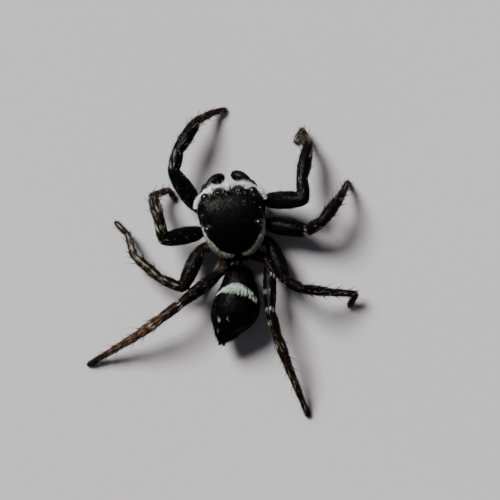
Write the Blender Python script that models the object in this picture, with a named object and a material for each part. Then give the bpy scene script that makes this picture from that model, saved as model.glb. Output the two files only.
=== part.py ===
"""A jumping spider at life size, standing still on its eight feet.

Sizes are in millimetres and become metres when a mesh is made. The head faces -Y, so the spider's
own left is +X, and the feet stand at z = 0. Places on the front body are given as (left, ahead, up)
from the middle of the carapace's rear edge, and places on the abdomen as (left, behind, up) from a
point just inside its front end. A heading is in degrees, from straight ahead (-Y) towards the leg's own side.
"""

import math

import bmesh
import bpy
from mathutils import Matrix, Vector

MM = 0.001
GAP = 0.02  # between a socket's wall and its eye

# The body's stance
CARAPACE_REAR = (-0.637, 0.023)  # on the floor plan, from the middle of the whole spider
HEAD_TURN = 8.2  # degrees the front body turns to the spider's left
ABDOMEN_FRONT = (-0.677, 0.253)
ABDOMEN_TURN = -12.4  # degrees; its rear swings to the spider's left too

# Carapace: distance ahead of its rear edge, half width, height of its roof
CARAPACE = (
    (0.00, 0.26, 1.10),
    (0.12, 0.48, 1.26),
    (0.35, 0.78, 1.50),
    (0.70, 1.05, 1.80),
    (1.10, 1.18, 2.02),
    (1.50, 1.24, 2.13),
    (1.95, 1.30, 2.14),
    (2.30, 1.28, 2.08),
    (2.53, 1.18, 2.00),
    (2.66, 1.05, 1.92),
    (2.72, 0.92, 1.84),
)
CARAPACE_EDGE_REAR = 0.97  # height of the lower edge at the back
CARAPACE_EDGE_FRONT = 1.07  # and at the face
CARAPACE_SHOULDER = 0.35  # where it is widest, as a share of its height
CARAPACE_RINGS = 15

# Sternum: distance ahead, half width, height of its underside; it hangs between the hips
STERNUM = (
    (0.50, 0.10, 0.64),
    (0.62, 0.20, 0.58),
    (1.00, 0.32, 0.51),
    (1.45, 0.34, 0.50),
    (1.80, 0.25, 0.55),
    (2.00, 0.12, 0.63),
)
STERNUM_TOP = 0.94
STERNUM_SQUARENESS = 3.5

# Abdomen: distance behind its front end, half width, height of its back, height of its belly
ABDOMEN = (
    (-0.12, 0.24, 1.24, 0.86),
    (0.06, 0.44, 1.43, 0.68),
    (0.40, 0.62, 1.64, 0.53),
    (0.80, 0.75, 1.78, 0.44),
    (1.20, 0.87, 1.86, 0.38),
    (1.65, 0.91, 1.87, 0.36),
    (2.02, 0.81, 1.79, 0.39),
    (2.35, 0.60, 1.62, 0.48),
    (2.62, 0.36, 1.39, 0.62),
    (2.80, 0.17, 1.18, 0.79),
)
ABDOMEN_BOW = 0.19  # its middle bows to the spider's right, and its tip a little to the left
ABDOMEN_BOW_LENGTH = 2.55
ABDOMEN_RINGS = 15
ABDOMEN_SQUARENESS = (2.15, 2.3)  # of its back and of its belly

PEDICEL_RADIUS = 0.17
PEDICEL_WAIST = 0.85  # its middle, as a share of that radius
PEDICEL_HEIGHT = 1.05

# Spinnerets: the base as (reach behind the abdomen's tip, radius), the fingers as (up, reach)
SPINNERET_BASE = ((0.00, 0.15), (0.07, 0.17), (0.13, 0.12))
SPINNERET_FINGERS = ((0.06, 0.32), (-0.06, 0.26))
FINGER_ROOT = (0.06, 0.06)  # left and behind
FINGER_LEFT = 0.10  # of its tip
FINGER_FLARE = 1.4  # how much higher or lower its tip stands than its root
FINGER_RADII = (0.065, 0.035)
FINGER_SIDES = 8

BALL_SEGMENTS = ((0.25, 14), (0.10, 10), (0.0, 8))  # from each radius up, largest first
# Eyes: left, ahead, up of the centre, and radius, for the left one of each pair
EYES = {
    "eye_front_middle": (0.36, 2.61, 1.48, 0.31),
    "eye_front_side": (0.92, 2.60, 1.64, 0.18),
    "eye_small": (1.11, 1.92, 1.84, 0.06),
    "eye_rear": (0.98, 1.38, 1.86, 0.16),
}

# Chelicera: height, half width, half depth, down from the face
CHELICERA = (
    (1.02, 0.17, 0.14),
    (0.96, 0.23, 0.19),
    (0.82, 0.25, 0.21),
    (0.64, 0.22, 0.19),
    (0.50, 0.17, 0.15),
    (0.42, 0.09, 0.09),
)
CHELICERA_LEFT = 0.27
CHELICERA_AHEAD = 2.66
CHELICERA_LEAN = 0.10  # how far the lower end stands forward

# Palps, as (left, ahead, up, radius) from the mouth to the tip; each is held in its own way
PALP_BASE = (
    (0.20, 2.18, 0.66, 0.13),
    (0.40, 2.27, 0.70, 0.17),
    (0.62, 2.38, 0.76, 0.16),
    (0.84, 2.62, 0.88, 0.17),
)
PALP_ENDS = {
    "left": (
        (0.99, 2.81, 0.99, 0.20),
        (0.91, 2.99, 1.01, 0.21),
        (0.72, 3.13, 0.97, 0.22),
        (0.48, 3.22, 0.90, 0.23),
        (0.25, 3.28, 0.80, 0.22),
        (0.10, 3.31, 0.72, 0.12),
    ),
    "right": (
        (1.03, 2.75, 0.99, 0.20),
        (0.97, 2.90, 1.01, 0.21),
        (0.81, 3.06, 0.98, 0.22),
        (0.56, 3.20, 0.90, 0.23),
        (0.34, 3.31, 0.80, 0.22),
        (0.20, 3.37, 0.72, 0.12),
    ),
}

# Hips: where the coxa leaves the sternum and where it ends, as (left, ahead)
COXA_STARTS = {1: (0.50, 1.82), 2: (0.54, 1.32), 3: (0.52, 0.82), 4: (0.36, 0.34)}
COXA_ENDS = {
    "leg_1_left": (1.12, 2.14),
    "leg_1_right": (1.12, 2.14),
    "leg_2_left": (1.02, 1.34),
    "leg_2_right": (1.02, 1.34),
    "leg_3_left": (1.25, 0.74),
    "leg_3_right": (1.14, 0.70),
    "leg_4_left": (0.63, -0.14),
    "leg_4_right": (1.02, 0.00),
}
COXA_HEIGHT = 0.70
FEMUR_START_HEIGHT = 0.80

# Lengths of the trochanter, femur, patella, tibia, metatarsus and tarsus of each pair of legs
LENGTHS = {
    1: (0.25, 1.73, 0.85, 1.35, 0.95, 0.60),
    2: (0.25, 1.62, 0.80, 1.25, 0.85, 0.50),
    3: (0.25, 1.55, 0.95, 1.35, 1.10, 0.75),
    4: (0.28, 1.93, 0.95, 1.27, 1.51, 0.88),
}
# Greatest radius of the same segments, bristles included
RADII = {
    1: (0.20, 0.34, 0.26, 0.27, 0.23, 0.23),
    2: (0.20, 0.33, 0.24, 0.24, 0.23, 0.23),
    3: (0.20, 0.30, 0.22, 0.23, 0.23, 0.23),
    4: (0.19, 0.29, 0.22, 0.23, 0.23, 0.23),
}
# How each leg is held: heading of each segment from the femur on, and height of its far end
POSES = {
    "leg_1_left": ((34, 1.45), (-12, 1.30), (-32, 1.05), (-59, 0.40), (-75, 0.08)),
    "leg_1_right": ((89, 1.75), (-5, 1.50), (11, 1.00), (-17, 0.36), (-151, 0.08)),
    "leg_2_left": ((102, 1.50), (12, 1.70), (17, 0.90), (-67, 0.36), (-148, 0.08)),
    "leg_2_right": ((100, 1.15), (58, 1.60), (37, 1.25), (28, 0.56), (34, 0.08)),
    "leg_3_left": ((156, 1.05), (67, 1.22), (49, 1.15), (17, 0.42), (45, 0.08)),
    "leg_3_right": ((159, 1.19), (118, 1.83), (97, 1.15), (94, 0.62), (-152, 0.08)),
    "leg_4_left": ((128, 1.45), (127, 1.50), (126, 1.06), (121, 0.42), (120, 0.08)),
    "leg_4_right": ((179, 1.55), (165, 1.42), (160, 1.15), (158, 0.50), (159, 0.08)),
}
# Where rings stand along each segment, as (share of its length, share of its radius)
SWELLS = (
    ((0.45, 0.95),),
    ((0.20, 0.95), (0.45, 1.00), (0.80, 0.88)),
    ((0.50, 1.00),),
    ((0.22, 0.96), (0.55, 1.00), (0.85, 0.90)),
    ((0.50, 1.00),),
    ((0.45, 1.00),),
)
# Rings of the hip, as (share of the coxa's length, share of its radius)
HIP = ((0.0, 0.60), (0.18, 1.00), (0.70, 1.00))
# Rings of the foot, as (distance before the leg's end, share of the tarsus's radius)
FOOT = ((0.14, 0.94), (0.04, 0.68), (0.0, 0.34))
JOINT_WAIST = 0.84  # a joint's radius, as a share of the thinner segment's
SHARP_HALF_BEND = math.radians(14)  # from which a joint gets three rings
BEND_REACH = 1.12  # how far round a sharp bend they stand, as a share of what would just clear
BEND_MARGIN = 0.02
RING_SPACING = 0.05  # the least distance between two rings of a leg
FOOT_SINK = 0.05  # how far the round foot would pass the floor that cuts its sole
FOOT_SNAP = 0.004  # corners this near the floor are taken as on it

LEG_SIDES = 12
BODY_SIDES = 24


def clear_scene():
    for item in list(bpy.data.objects):
        bpy.data.objects.remove(item)


def material(name, colour, roughness):
    made = bpy.data.materials.new(name)
    made.use_nodes = True
    shader = made.node_tree.nodes["Principled BSDF"]
    shader.inputs["Base Color"].default_value = (*colour, 1)
    shader.inputs["Roughness"].default_value = roughness
    shader.inputs["Metallic"].default_value = 0
    return made


def finish(name, bm, parent, finish_material):
    """Turns a bmesh in millimetres into a smooth object in metres."""
    bmesh.ops.recalc_face_normals(bm, faces=bm.faces)
    mesh = bpy.data.meshes.new(name)
    bm.to_mesh(mesh)
    bm.free()
    mesh.transform(Matrix.Scale(MM, 4))
    mesh.shade_smooth()
    mesh.set_sharp_from_angle(angle=math.radians(50))
    made = bpy.data.objects.new(name, mesh)
    bpy.context.collection.objects.link(made)
    made.parent = parent
    made.data.materials.append(finish_material)
    return made


def loft(rings):
    """A closed solid through rings of points: a disc is extruded from each ring to the next."""
    bm = bmesh.new()
    first = bm.faces.new([bm.verts.new(point) for point in rings[0]])
    cap = first
    for ring in rings[1:]:
        grown = bmesh.ops.extrude_face_region(bm, geom=[cap])["geom"]
        if cap is not first:
            bm.faces.remove(cap)
        cap = next(item for item in grown if isinstance(item, bmesh.types.BMFace))
        for vert, point in zip(cap.verts, ring):
            vert.co = point
    return bm


def spline(points, share):
    """The place at a share (0 to 1) of a smooth curve through evenly counted points."""
    spans = len(points) - 1
    span = min(int(share * spans), spans - 1)
    t = share * spans - span
    before, start, end, after = (points[min(max(span + k, 0), spans)] for k in (-1, 0, 1, 2))
    return tuple(
        b + t * (c - a) / 2 + t * t * (a - 2.5 * b + 2 * c - d / 2) + t**3 * (1.5 * (b - c) + (d - a) / 2)
        for a, b, c, d in zip(before, start, end, after)
    )


def oval(half_width, top, bottom, shoulder, squareness=2.5, underside=3.4):
    """Points (across, up) of a cross-section that is widest at the height shoulder."""
    points = []
    for k in range(BODY_SIDES):
        angle = math.tau * k / BODY_SIDES
        across, up = math.cos(angle), math.sin(angle)
        power = 2 / (squareness if up >= 0 else underside)
        reach = top - shoulder if up >= 0 else shoulder - bottom
        x = math.copysign(abs(across) ** power, across) * half_width
        points.append((x, shoulder + math.copysign(abs(up) ** power, up) * reach))
    return points


def swept_rings(stations, sides):
    """Round rings square to a path of (centre, radius) stations, without twist between them."""
    centres = [Vector(centre) for centre, _ in stations]
    rings = []
    side = None
    for k, (_, radius) in enumerate(stations):
        along = (centres[min(k + 1, len(centres) - 1)] - centres[max(k - 1, 0)]).normalized()
        if side is None:
            side = along.cross(Vector((0, 0, 1)))
        side = (side - along * side.dot(along)).normalized()
        over = side.cross(along)
        turns = [math.tau * n / sides for n in range(sides)]
        rings.append([centres[k] + radius * (math.cos(a) * side + math.sin(a) * over) for a in turns])
    return rings


def keep_as_tool(tool, group):
    """Hides a shape that only cuts or joins, and files it with its like."""
    tool.hide_render = True
    tool.display_type = "WIRE"
    bpy.context.collection.objects.unlink(tool)
    group.objects.link(tool)


def join_tools(made, group, operation):
    joining = made.modifiers.new(group.name, "BOOLEAN")
    joining.operation = operation
    joining.operand_type = "COLLECTION"
    joining.collection = group
    joining.solver = "EXACT"


def carapace(parent, shell):
    """The shell over the front body, open eye sockets included."""
    rings = []
    for k in range(CARAPACE_RINGS):
        ahead, half_width, roof = spline(CARAPACE, k / (CARAPACE_RINGS - 1))
        share = ahead / CARAPACE[-1][0]
        edge = CARAPACE_EDGE_REAR + (CARAPACE_EDGE_FRONT - CARAPACE_EDGE_REAR) * share**2
        shoulder = edge + CARAPACE_SHOULDER * (roof - edge)
        rings.append([(x, -ahead, z) for x, z in oval(half_width, roof, edge, shoulder)])
    made = finish("carapace", loft(rings), parent, shell)
    cutters = bpy.data.collections.new("eye_sockets")
    bpy.context.scene.collection.children.link(cutters)
    for name, (left, ahead, up, radius) in EYES.items():
        for side in (1, -1):
            cutter = ball(f"socket_{name}_{side_name(side)}", radius + GAP, parent, shell)
            cutter.location = Vector((side * left, -ahead, up)) * MM
            keep_as_tool(cutter, cutters)
    join_tools(made, cutters, "DIFFERENCE")


def ball(name, radius, parent, finish_material):
    """A round ball with fewer facets where it is small."""
    segments = next(count for smallest, count in BALL_SEGMENTS if radius > smallest)
    bm = bmesh.new()
    bmesh.ops.create_uvsphere(bm, u_segments=segments, v_segments=segments // 2 + 1, radius=radius)
    bmesh.ops.rotate(bm, verts=bm.verts, matrix=Matrix.Rotation(math.radians(90), 3, "X"))
    return finish(name, bm, parent, finish_material)


def side_name(side):
    return "left" if side > 0 else "right"


def eyes(parent, lens):
    for name, (left, ahead, up, radius) in EYES.items():
        for side in (1, -1):
            eye = ball(f"{name}_{side_name(side)}", radius, parent, lens)
            eye.location = Vector((side * left, -ahead, up)) * MM


def sternum(parent, shell):
    rings = []
    for ahead, half_width, bottom in STERNUM:
        middle = (STERNUM_TOP + bottom) / 2
        section = oval(half_width, STERNUM_TOP, bottom, middle, STERNUM_SQUARENESS)
        rings.append([(x, -ahead, z) for x, z in section])
    finish("sternum", loft(rings), parent, shell)


def abdomen_bow(behind):
    """How far the abdomen's middle line lies to the left of its straight axis."""
    return -ABDOMEN_BOW * math.sin(math.pi * behind / ABDOMEN_BOW_LENGTH)


def abdomen(parent, skin):
    rings = []
    for k in range(ABDOMEN_RINGS):
        behind, half_width, back, belly = spline(ABDOMEN, k / (ABDOMEN_RINGS - 1))
        bow = abdomen_bow(behind)
        section = oval(half_width, back, belly, (back + belly) / 2, *ABDOMEN_SQUARENESS)
        rings.append([(x + bow, behind, z) for x, z in section])
    finish("abdomen", loft(rings), parent, skin)


def pedicel(parent, front, rear, skin):
    """The narrow waist between the carapace's rear face and the abdomen's front face."""
    start = Vector((0, GAP, PEDICEL_HEIGHT))
    end = front.inverted() @ rear @ Vector((0, ABDOMEN[0][0] - GAP, PEDICEL_HEIGHT))
    middle = (start + end) / 2
    stations = ((start, PEDICEL_RADIUS), (middle, PEDICEL_RADIUS * PEDICEL_WAIST), (end, PEDICEL_RADIUS))
    finish("pedicel", loft(swept_rings(stations, LEG_SIDES)), parent, skin)


def spinnerets(parent, skin):
    """A short round base with four tapered fingers joined to it."""
    tip, _, back, belly = ABDOMEN[-1]
    start = Vector((abdomen_bow(tip), tip + GAP, (back + belly) / 2))
    base = [(start + Vector((0, reach, 0)), radius) for reach, radius in SPINNERET_BASE]
    made = finish("spinnerets", loft(swept_rings(base, LEG_SIDES)), parent, skin)
    fingers = bpy.data.collections.new("spinneret_fingers")
    bpy.context.scene.collection.children.link(fingers)
    for side in (1, -1):
        for up, reach in SPINNERET_FINGERS:
            root = start + Vector((FINGER_ROOT[0] * side, FINGER_ROOT[1], up))
            end = start + Vector((FINGER_LEFT * side, reach, up * FINGER_FLARE))
            bm = loft(swept_rings(tuple(zip((root, end), FINGER_RADII)), FINGER_SIDES))
            finger = finish(f"finger_{side_name(side)}_{reach}", bm, parent, skin)
            keep_as_tool(finger, fingers)
    join_tools(made, fingers, "UNION")


def chelicera(side, parent, shell):
    top = CHELICERA[0][0]
    bottom = CHELICERA[-1][0]
    rings = []
    for up, half_width, half_depth in CHELICERA:
        lean = CHELICERA_LEAN * (top - up) / (top - bottom)
        ring = []
        for k in range(LEG_SIDES):
            angle = math.tau * k / LEG_SIDES
            across = side * CHELICERA_LEFT + half_width * math.cos(angle)
            ring.append((across, -(CHELICERA_AHEAD + lean) + half_depth * math.sin(angle), up))
        rings.append(ring)
    finish(f"chelicera_{side_name(side)}", loft(rings), parent, shell)


def palp(side, parent, skin):
    held = PALP_BASE + PALP_ENDS[side_name(side)]
    stations = [((side * left, -ahead, up), radius) for left, ahead, up, radius in held]
    finish(f"palp_{side_name(side)}", loft(swept_rings(stations, LEG_SIDES)), parent, skin)


def leg_joints(name, front):
    """The leg's joints in mm: the coxa's two ends, then each segment's far end."""
    pair = int(name.split("_")[1])
    side = 1 if name.endswith("left") else -1
    joints = []
    for left, ahead in (COXA_STARTS[pair], COXA_ENDS[name]):
        joints.append(front @ Vector((side * left, -ahead, COXA_HEIGHT)))
    coxa = joints[1] - joints[0]
    coxa_heading = math.degrees(math.atan2(side * coxa.x, -coxa.y))
    halfway = (coxa_heading + POSES[name][0][0]) / 2
    pose = ((halfway, FEMUR_START_HEIGHT),) + POSES[name]
    for length, (heading, height) in zip(LENGTHS[pair], pose):
        drop = height - joints[-1].z
        reach = math.sqrt(length**2 - drop**2)
        turn = math.radians(heading)
        joints.append(joints[-1] + Vector((side * reach * math.sin(turn), -reach * math.cos(turn), drop)))
    return joints


def joint_stations(before, joint, after, radius):
    """Rings round a joint: one where it is nearly straight, three round a sharp bend."""
    into, out = (joint - before).normalized(), (after - joint).normalized()
    half_bend = into.angle(out) / 2
    if half_bend < SHARP_HALF_BEND:
        return [(joint, radius)]
    cut = BEND_REACH * radius * math.tan(half_bend) + BEND_MARGIN
    start, end = joint - cut * into, joint + cut * out
    return [(start, radius), ((start + 2 * joint + end) / 4, radius), (end, radius)]


def leg_stations(name, front):
    """The leg's centres and radii from hip to foot."""
    joints = leg_joints(name, front)
    radii = RADII[int(name.split("_")[1])]
    hip = radii[0]
    first = joints[1] - joints[0]
    stations = [(joints[0] + first * share, hip * thickness) for share, thickness in HIP]
    stations += joint_stations(joints[0], joints[1], joints[2], hip * JOINT_WAIST)
    for k, (radius, swell) in enumerate(zip(radii, SWELLS)):
        start, end = joints[k + 1], joints[k + 2]
        previous = stations[-1][0]
        for share, thickness in swell:
            centre = start.lerp(end, share)
            if (centre - previous).dot((end - start).normalized()) > RING_SPACING:
                stations.append((centre, radius * thickness))
        if k + 1 < len(radii):
            waist = JOINT_WAIST * min(radius, radii[k + 1])
            corner = joint_stations(start, end, joints[k + 3], waist)
            while (corner[0][0] - stations[-1][0]).dot((end - start).normalized()) < RING_SPACING:
                stations.pop()
            stations += corner
    foot = joints[-1]
    along = (foot - joints[-2]).normalized()
    return stations + [(foot - along * before, radii[-1] * thickness) for before, thickness in FOOT]


def leg(name, front, skin):
    """One leg from hip to foot. Its end is lifted to stand on the floor, which cuts its sole flat."""
    stations = leg_stations(name, front)
    lifted = stations[: len(HIP)]
    for k in range(len(HIP), len(stations)):
        centre, radius = stations[k]
        along = (centre - stations[k - 1][0]).normalized()
        standing = radius * math.hypot(along.x, along.y) - FOOT_SINK
        last = k == len(stations) - 1
        lifted.append((Vector((centre.x, centre.y, standing if last else max(centre.z, standing))), radius))
    bm = loft(swept_rings(lifted, LEG_SIDES))
    everything = bm.verts[:] + bm.edges[:] + bm.faces[:]
    cut = bmesh.ops.bisect_plane(
        bm, geom=everything, dist=FOOT_SNAP, plane_co=(0, 0, 0), plane_no=(0, 0, -1), clear_outer=True
    )
    rim = [item for item in cut["geom_cut"] if isinstance(item, bmesh.types.BMEdge)]
    bmesh.ops.contextual_create(bm, geom=rim)
    for vert in bm.verts:
        if vert.co.z < FOOT_SNAP:
            vert.co.z = 0
    finish(name, bm, None, skin)


def placed_empty(name, place, turn):
    made = bpy.data.objects.new(name, None)
    made.location = (place[0] * MM, place[1] * MM, 0)
    made.rotation_euler = (0, 0, math.radians(turn))
    bpy.context.collection.objects.link(made)
    return made


def in_mm(placed):
    """The place and turn of an empty, for points in millimetres."""
    return Matrix.Translation(placed.matrix_world.translation / MM) @ placed.matrix_world.to_3x3().to_4x4()


def main():
    clear_scene()
    shell = material("black_shell", (0.012, 0.012, 0.014), 0.35)
    skin = material("black_skin", (0.02, 0.019, 0.02), 0.5)
    leg_skin = material("dark_leg", (0.05, 0.035, 0.028), 0.45)
    lens = material("eye_lens", (0.004, 0.004, 0.005), 0.05)
    front_body = placed_empty("front_body", CARAPACE_REAR, HEAD_TURN)
    rear_body = placed_empty("rear_body", ABDOMEN_FRONT, ABDOMEN_TURN)
    bpy.context.view_layer.update()
    front, rear = in_mm(front_body), in_mm(rear_body)
    carapace(front_body, shell)
    sternum(front_body, shell)
    eyes(front_body, lens)
    pedicel(front_body, front, rear, skin)
    abdomen(rear_body, skin)
    spinnerets(rear_body, skin)
    for side in (1, -1):
        chelicera(side, front_body, shell)
        palp(side, front_body, leg_skin)
    for name in POSES:
        leg(name, front, leg_skin)


main()
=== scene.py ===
"""The looks of a jumping spider at life size: one skin, eight eyes, fangs, claws, spines and a coat of hair.

Forms are worked out in millimetres and become metres when a piece is finished. The head faces -Y, so
the spider's own left is +X. Places on the front body are (left, ahead, up) from the middle of the
carapace's rear edge; places on the abdomen are (left, behind, up) from a point just inside its
front end.
"""

import math

import bmesh
import bpy
import numpy as np
from bpy.props import FloatProperty, FloatVectorProperty, IntProperty, PointerProperty
from mathutils import Matrix, Vector
from mathutils.kdtree import KDTree


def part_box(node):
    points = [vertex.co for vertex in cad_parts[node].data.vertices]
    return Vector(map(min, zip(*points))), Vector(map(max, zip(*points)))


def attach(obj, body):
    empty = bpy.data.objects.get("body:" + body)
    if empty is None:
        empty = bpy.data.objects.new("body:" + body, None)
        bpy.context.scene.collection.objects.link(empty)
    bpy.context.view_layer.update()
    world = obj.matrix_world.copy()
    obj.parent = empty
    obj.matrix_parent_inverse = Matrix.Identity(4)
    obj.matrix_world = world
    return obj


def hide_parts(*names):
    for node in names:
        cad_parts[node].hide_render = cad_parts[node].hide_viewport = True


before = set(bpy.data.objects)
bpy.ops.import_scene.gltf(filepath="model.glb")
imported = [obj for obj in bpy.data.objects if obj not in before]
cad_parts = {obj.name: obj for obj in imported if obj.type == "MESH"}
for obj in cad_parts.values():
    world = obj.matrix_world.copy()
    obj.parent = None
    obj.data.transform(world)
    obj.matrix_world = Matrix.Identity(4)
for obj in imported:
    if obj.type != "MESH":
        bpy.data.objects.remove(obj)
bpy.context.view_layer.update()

bl_info = {
    "name": "Jumping Spider Model",
    "version": (1, 0, 0),
    "blender": (4, 5, 0),
    "location": "3D View > Sidebar > Spider",
    "description": "Skin, eyes and coat of a life-size jumping spider",
    "category": "Add Mesh",
}

MM = 0.001
BODY = "root"
FORM_SLACK = 0.0003  # metres by which a hidden root may pass its solid's box
PIECE_LIMIT = 200000  # triangles that a piece of the coat stays under
HAIR_PATCH = 0.003  # width of a hair's patch on the coat's unwrap
ROOT_DEPTH = 0.012  # mm that a hair's root lies under the skin
LENS_CLEARANCE = 0.012  # mm round a lens where no hair roots
HAIR_LOWEST = 0.004  # mm over the floor, for hairs and spines
CLAW_LOWEST = 0.003  # and for claws
CLAW_LENGTH = 0.10
CLAW_RADIUS = 0.012
FANG_ROOT = (0.31, 2.74, 0.51)  # left, ahead, up
FANG_LENGTH = 0.20
FANG_RADIUS = 0.05
BODY_RINGS = 70  # along the carapace and the abdomen
BODY_SIDES = 96
SUN_COLOUR = (1.0, 0.99, 0.97)
FILL_COLOUR = (0.93, 0.93, 1.0, 1)
MARKS = ("tone", "pale", "hue")  # what skin and hairs carry for their colour

# The body's stance
CARAPACE_REAR = (-0.637, 0.023)
HEAD_TURN = 8.2
ABDOMEN_FRONT = (-0.677, 0.253)
ABDOMEN_TURN = -12.4

# Carapace: distance ahead of its rear edge, half width, height of its roof
CARAPACE = (
    (0.00, 0.26, 1.10),
    (0.12, 0.48, 1.26),
    (0.35, 0.78, 1.50),
    (0.70, 1.05, 1.80),
    (1.10, 1.18, 2.02),
    (1.50, 1.24, 2.13),
    (1.95, 1.30, 2.14),
    (2.30, 1.28, 2.08),
    (2.53, 1.18, 2.00),
    (2.66, 1.05, 1.92),
    (2.72, 0.92, 1.84),
)
CARAPACE_EDGE_REAR = 0.97
CARAPACE_EDGE_FRONT = 1.07
CARAPACE_SHOULDER = 0.35

# Sternum: distance ahead, half width
STERNUM = ((0.50, 0.10), (0.62, 0.20), (1.00, 0.32), (1.45, 0.34), (1.80, 0.25), (2.00, 0.12))
STERNUM_TOP = 0.94
STERNUM_BOTTOM = 0.52
STERNUM_WIDEST = 0.34
# Eggs that fill the underside: centre (left, ahead, up), radii across, along and up
SKIRT = ((0, 1.30, 1.00), (0.50, 1.15, 0.22))
LIP = ((0, 2.08, 0.66), (0.10, 0.16, 0.10))
MAXILLA = ((0.21, 2.26, 0.64), (0.13, 0.24, 0.13))

# Abdomen: distance behind its front end, half width, height of its back, height of its belly
ABDOMEN = (
    (-0.12, 0.24, 1.24, 0.86),
    (0.06, 0.44, 1.43, 0.68),
    (0.40, 0.62, 1.64, 0.53),
    (0.80, 0.75, 1.78, 0.44),
    (1.20, 0.87, 1.86, 0.38),
    (1.65, 0.91, 1.87, 0.36),
    (2.02, 0.81, 1.79, 0.39),
    (2.35, 0.60, 1.62, 0.48),
    (2.62, 0.36, 1.39, 0.62),
    (2.80, 0.17, 1.18, 0.79),
)
ABDOMEN_BOW = 0.19
ABDOMEN_BOW_LENGTH = 2.55
PEDICEL_RADIUS = 0.14
PEDICEL_HEIGHT = 1.05
# Spinnerets: the mound's distance behind the abdomen's tip and radius, then one two-jointed finger's
# share of its length and radius
MOUND = ((-0.06, 0.12), (0.03, 0.155), (0.09, 0.15), (0.13, 0.11), (0.15, 0.05))
FINGER = ((0, 0.055), (0.4, 0.062), (0.55, 0.050), (0.6, 0.052), (0.9, 0.034), (1, 0.012))

# Eyes: left, ahead, up, radius, and the way each looks
EYES = {
    "front_middle": ((0.36, 2.61, 1.48), 0.31, (0.05, 1.0, 0.04)),
    "front_side": ((0.92, 2.60, 1.64), 0.18, (0.45, 1.0, 0.15)),
    "small": ((1.11, 1.92, 1.84), 0.06, (0.85, 0.25, 0.45)),
    "rear": ((0.98, 1.38, 1.86), 0.16, (0.85, -0.15, 0.50)),
}
RIM_SIZE = 1.11
RIM_SETBACK = 0.38
RIM_WIDTH = 0.008

# Chelicera: height, distance ahead, half width, half depth
CHELICERA = (
    (1.24, 2.46, 0.16, 0.14),
    (1.08, 2.60, 0.19, 0.15),
    (0.94, 2.67, 0.21, 0.18),
    (0.80, 2.69, 0.225, 0.19),
    (0.64, 2.72, 0.20, 0.17),
    (0.53, 2.74, 0.15, 0.13),
    (0.47, 2.75, 0.08, 0.08),
)
CHELICERA_LEFT = 0.27

# Palps, as (left, ahead, up, radius) from the mouth to the tip
PALP_BASE = (
    (0.14, 2.10, 0.68, 0.10),
    (0.40, 2.27, 0.70, 0.13),
    (0.62, 2.38, 0.76, 0.12),
    (0.84, 2.62, 0.88, 0.13),
)
PALP_ENDS = {
    "left": (
        (0.98, 2.80, 0.98, 0.12),
        (0.90, 2.97, 1.00, 0.12),
        (0.72, 3.11, 0.97, 0.14),
        (0.48, 3.22, 0.90, 0.205),
        (0.24, 3.28, 0.80, 0.20),
        (0.10, 3.31, 0.73, 0.10),
    ),
    "right": (
        (1.02, 2.74, 0.98, 0.12),
        (0.96, 2.88, 1.00, 0.12),
        (0.80, 3.04, 0.97, 0.14),
        (0.56, 3.20, 0.90, 0.205),
        (0.34, 3.31, 0.80, 0.20),
        (0.21, 3.37, 0.73, 0.10),
    ),
}
# Joints of the palps, as shares along them, and how much thinner they are there
PALP_JOINTS = (0.16, 0.36, 0.50, 0.635)
PALP_PINCH = 0.24
PALP_PINCH_REACH = 0.035

# Hips: where the coxa leaves the sternum and where it ends, as (left, ahead)
COXA_STARTS = {1: (0.50, 1.82), 2: (0.54, 1.32), 3: (0.52, 0.82), 4: (0.36, 0.34)}
COXA_ENDS = {
    "leg_1_left": (1.12, 2.14),
    "leg_1_right": (1.12, 2.14),
    "leg_2_left": (1.02, 1.34),
    "leg_2_right": (1.02, 1.34),
    "leg_3_left": (1.25, 0.74),
    "leg_3_right": (1.14, 0.70),
    "leg_4_left": (0.63, -0.14),
    "leg_4_right": (1.02, 0.00),
}
COXA_HEIGHT = 0.70
FEMUR_START_HEIGHT = 0.80
SEGMENTS = ("coxa", "trochanter", "femur", "patella", "tibia", "metatarsus", "tarsus")
# Lengths of the trochanter, femur, patella, tibia, metatarsus and tarsus of each pair of legs
LENGTHS = {
    1: (0.25, 1.73, 0.85, 1.35, 0.95, 0.60),
    2: (0.25, 1.62, 0.80, 1.25, 0.85, 0.50),
    3: (0.25, 1.55, 0.95, 1.35, 1.10, 0.75),
    4: (0.28, 1.93, 0.95, 1.27, 1.51, 0.88),
}
# Radius of the skin of each segment from the coxa on
RADII = {
    1: (0.20, 0.18, 0.335, 0.245, 0.255, 0.145, 0.115),
    2: (0.20, 0.18, 0.325, 0.225, 0.225, 0.138, 0.110),
    3: (0.19, 0.18, 0.290, 0.200, 0.190, 0.135, 0.112),
    4: (0.19, 0.18, 0.245, 0.200, 0.200, 0.145, 0.110),
}
# How a segment swells, as (share of its length, share of its radius)
SWELLS = {
    "coxa": ((0.0, 0.85), (0.3, 1.05), (0.8, 1.05), (1.0, 0.85)),
    "trochanter": ((0.0, 0.95), (0.5, 1.05), (1.0, 0.90)),
    "femur": ((0.0, 0.62), (0.12, 0.86), (0.38, 1.0), (0.65, 0.97), (0.88, 0.80), (1.0, 0.64)),
    "patella": ((0.0, 0.80), (0.2, 0.96), (0.5, 1.0), (0.85, 0.92), (1.0, 0.78)),
    "tibia": ((0.0, 0.76), (0.12, 0.92), (0.4, 1.0), (0.8, 0.88), (1.0, 0.64)),
    "metatarsus": ((0.0, 1.10), (0.1, 1.12), (0.4, 0.96), (0.85, 0.88), (1.0, 0.90)),
    "tarsus": ((0.0, 0.85), (0.3, 1.0), (0.75, 1.0), (0.92, 0.85), (1.0, 0.50)),
}
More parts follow.
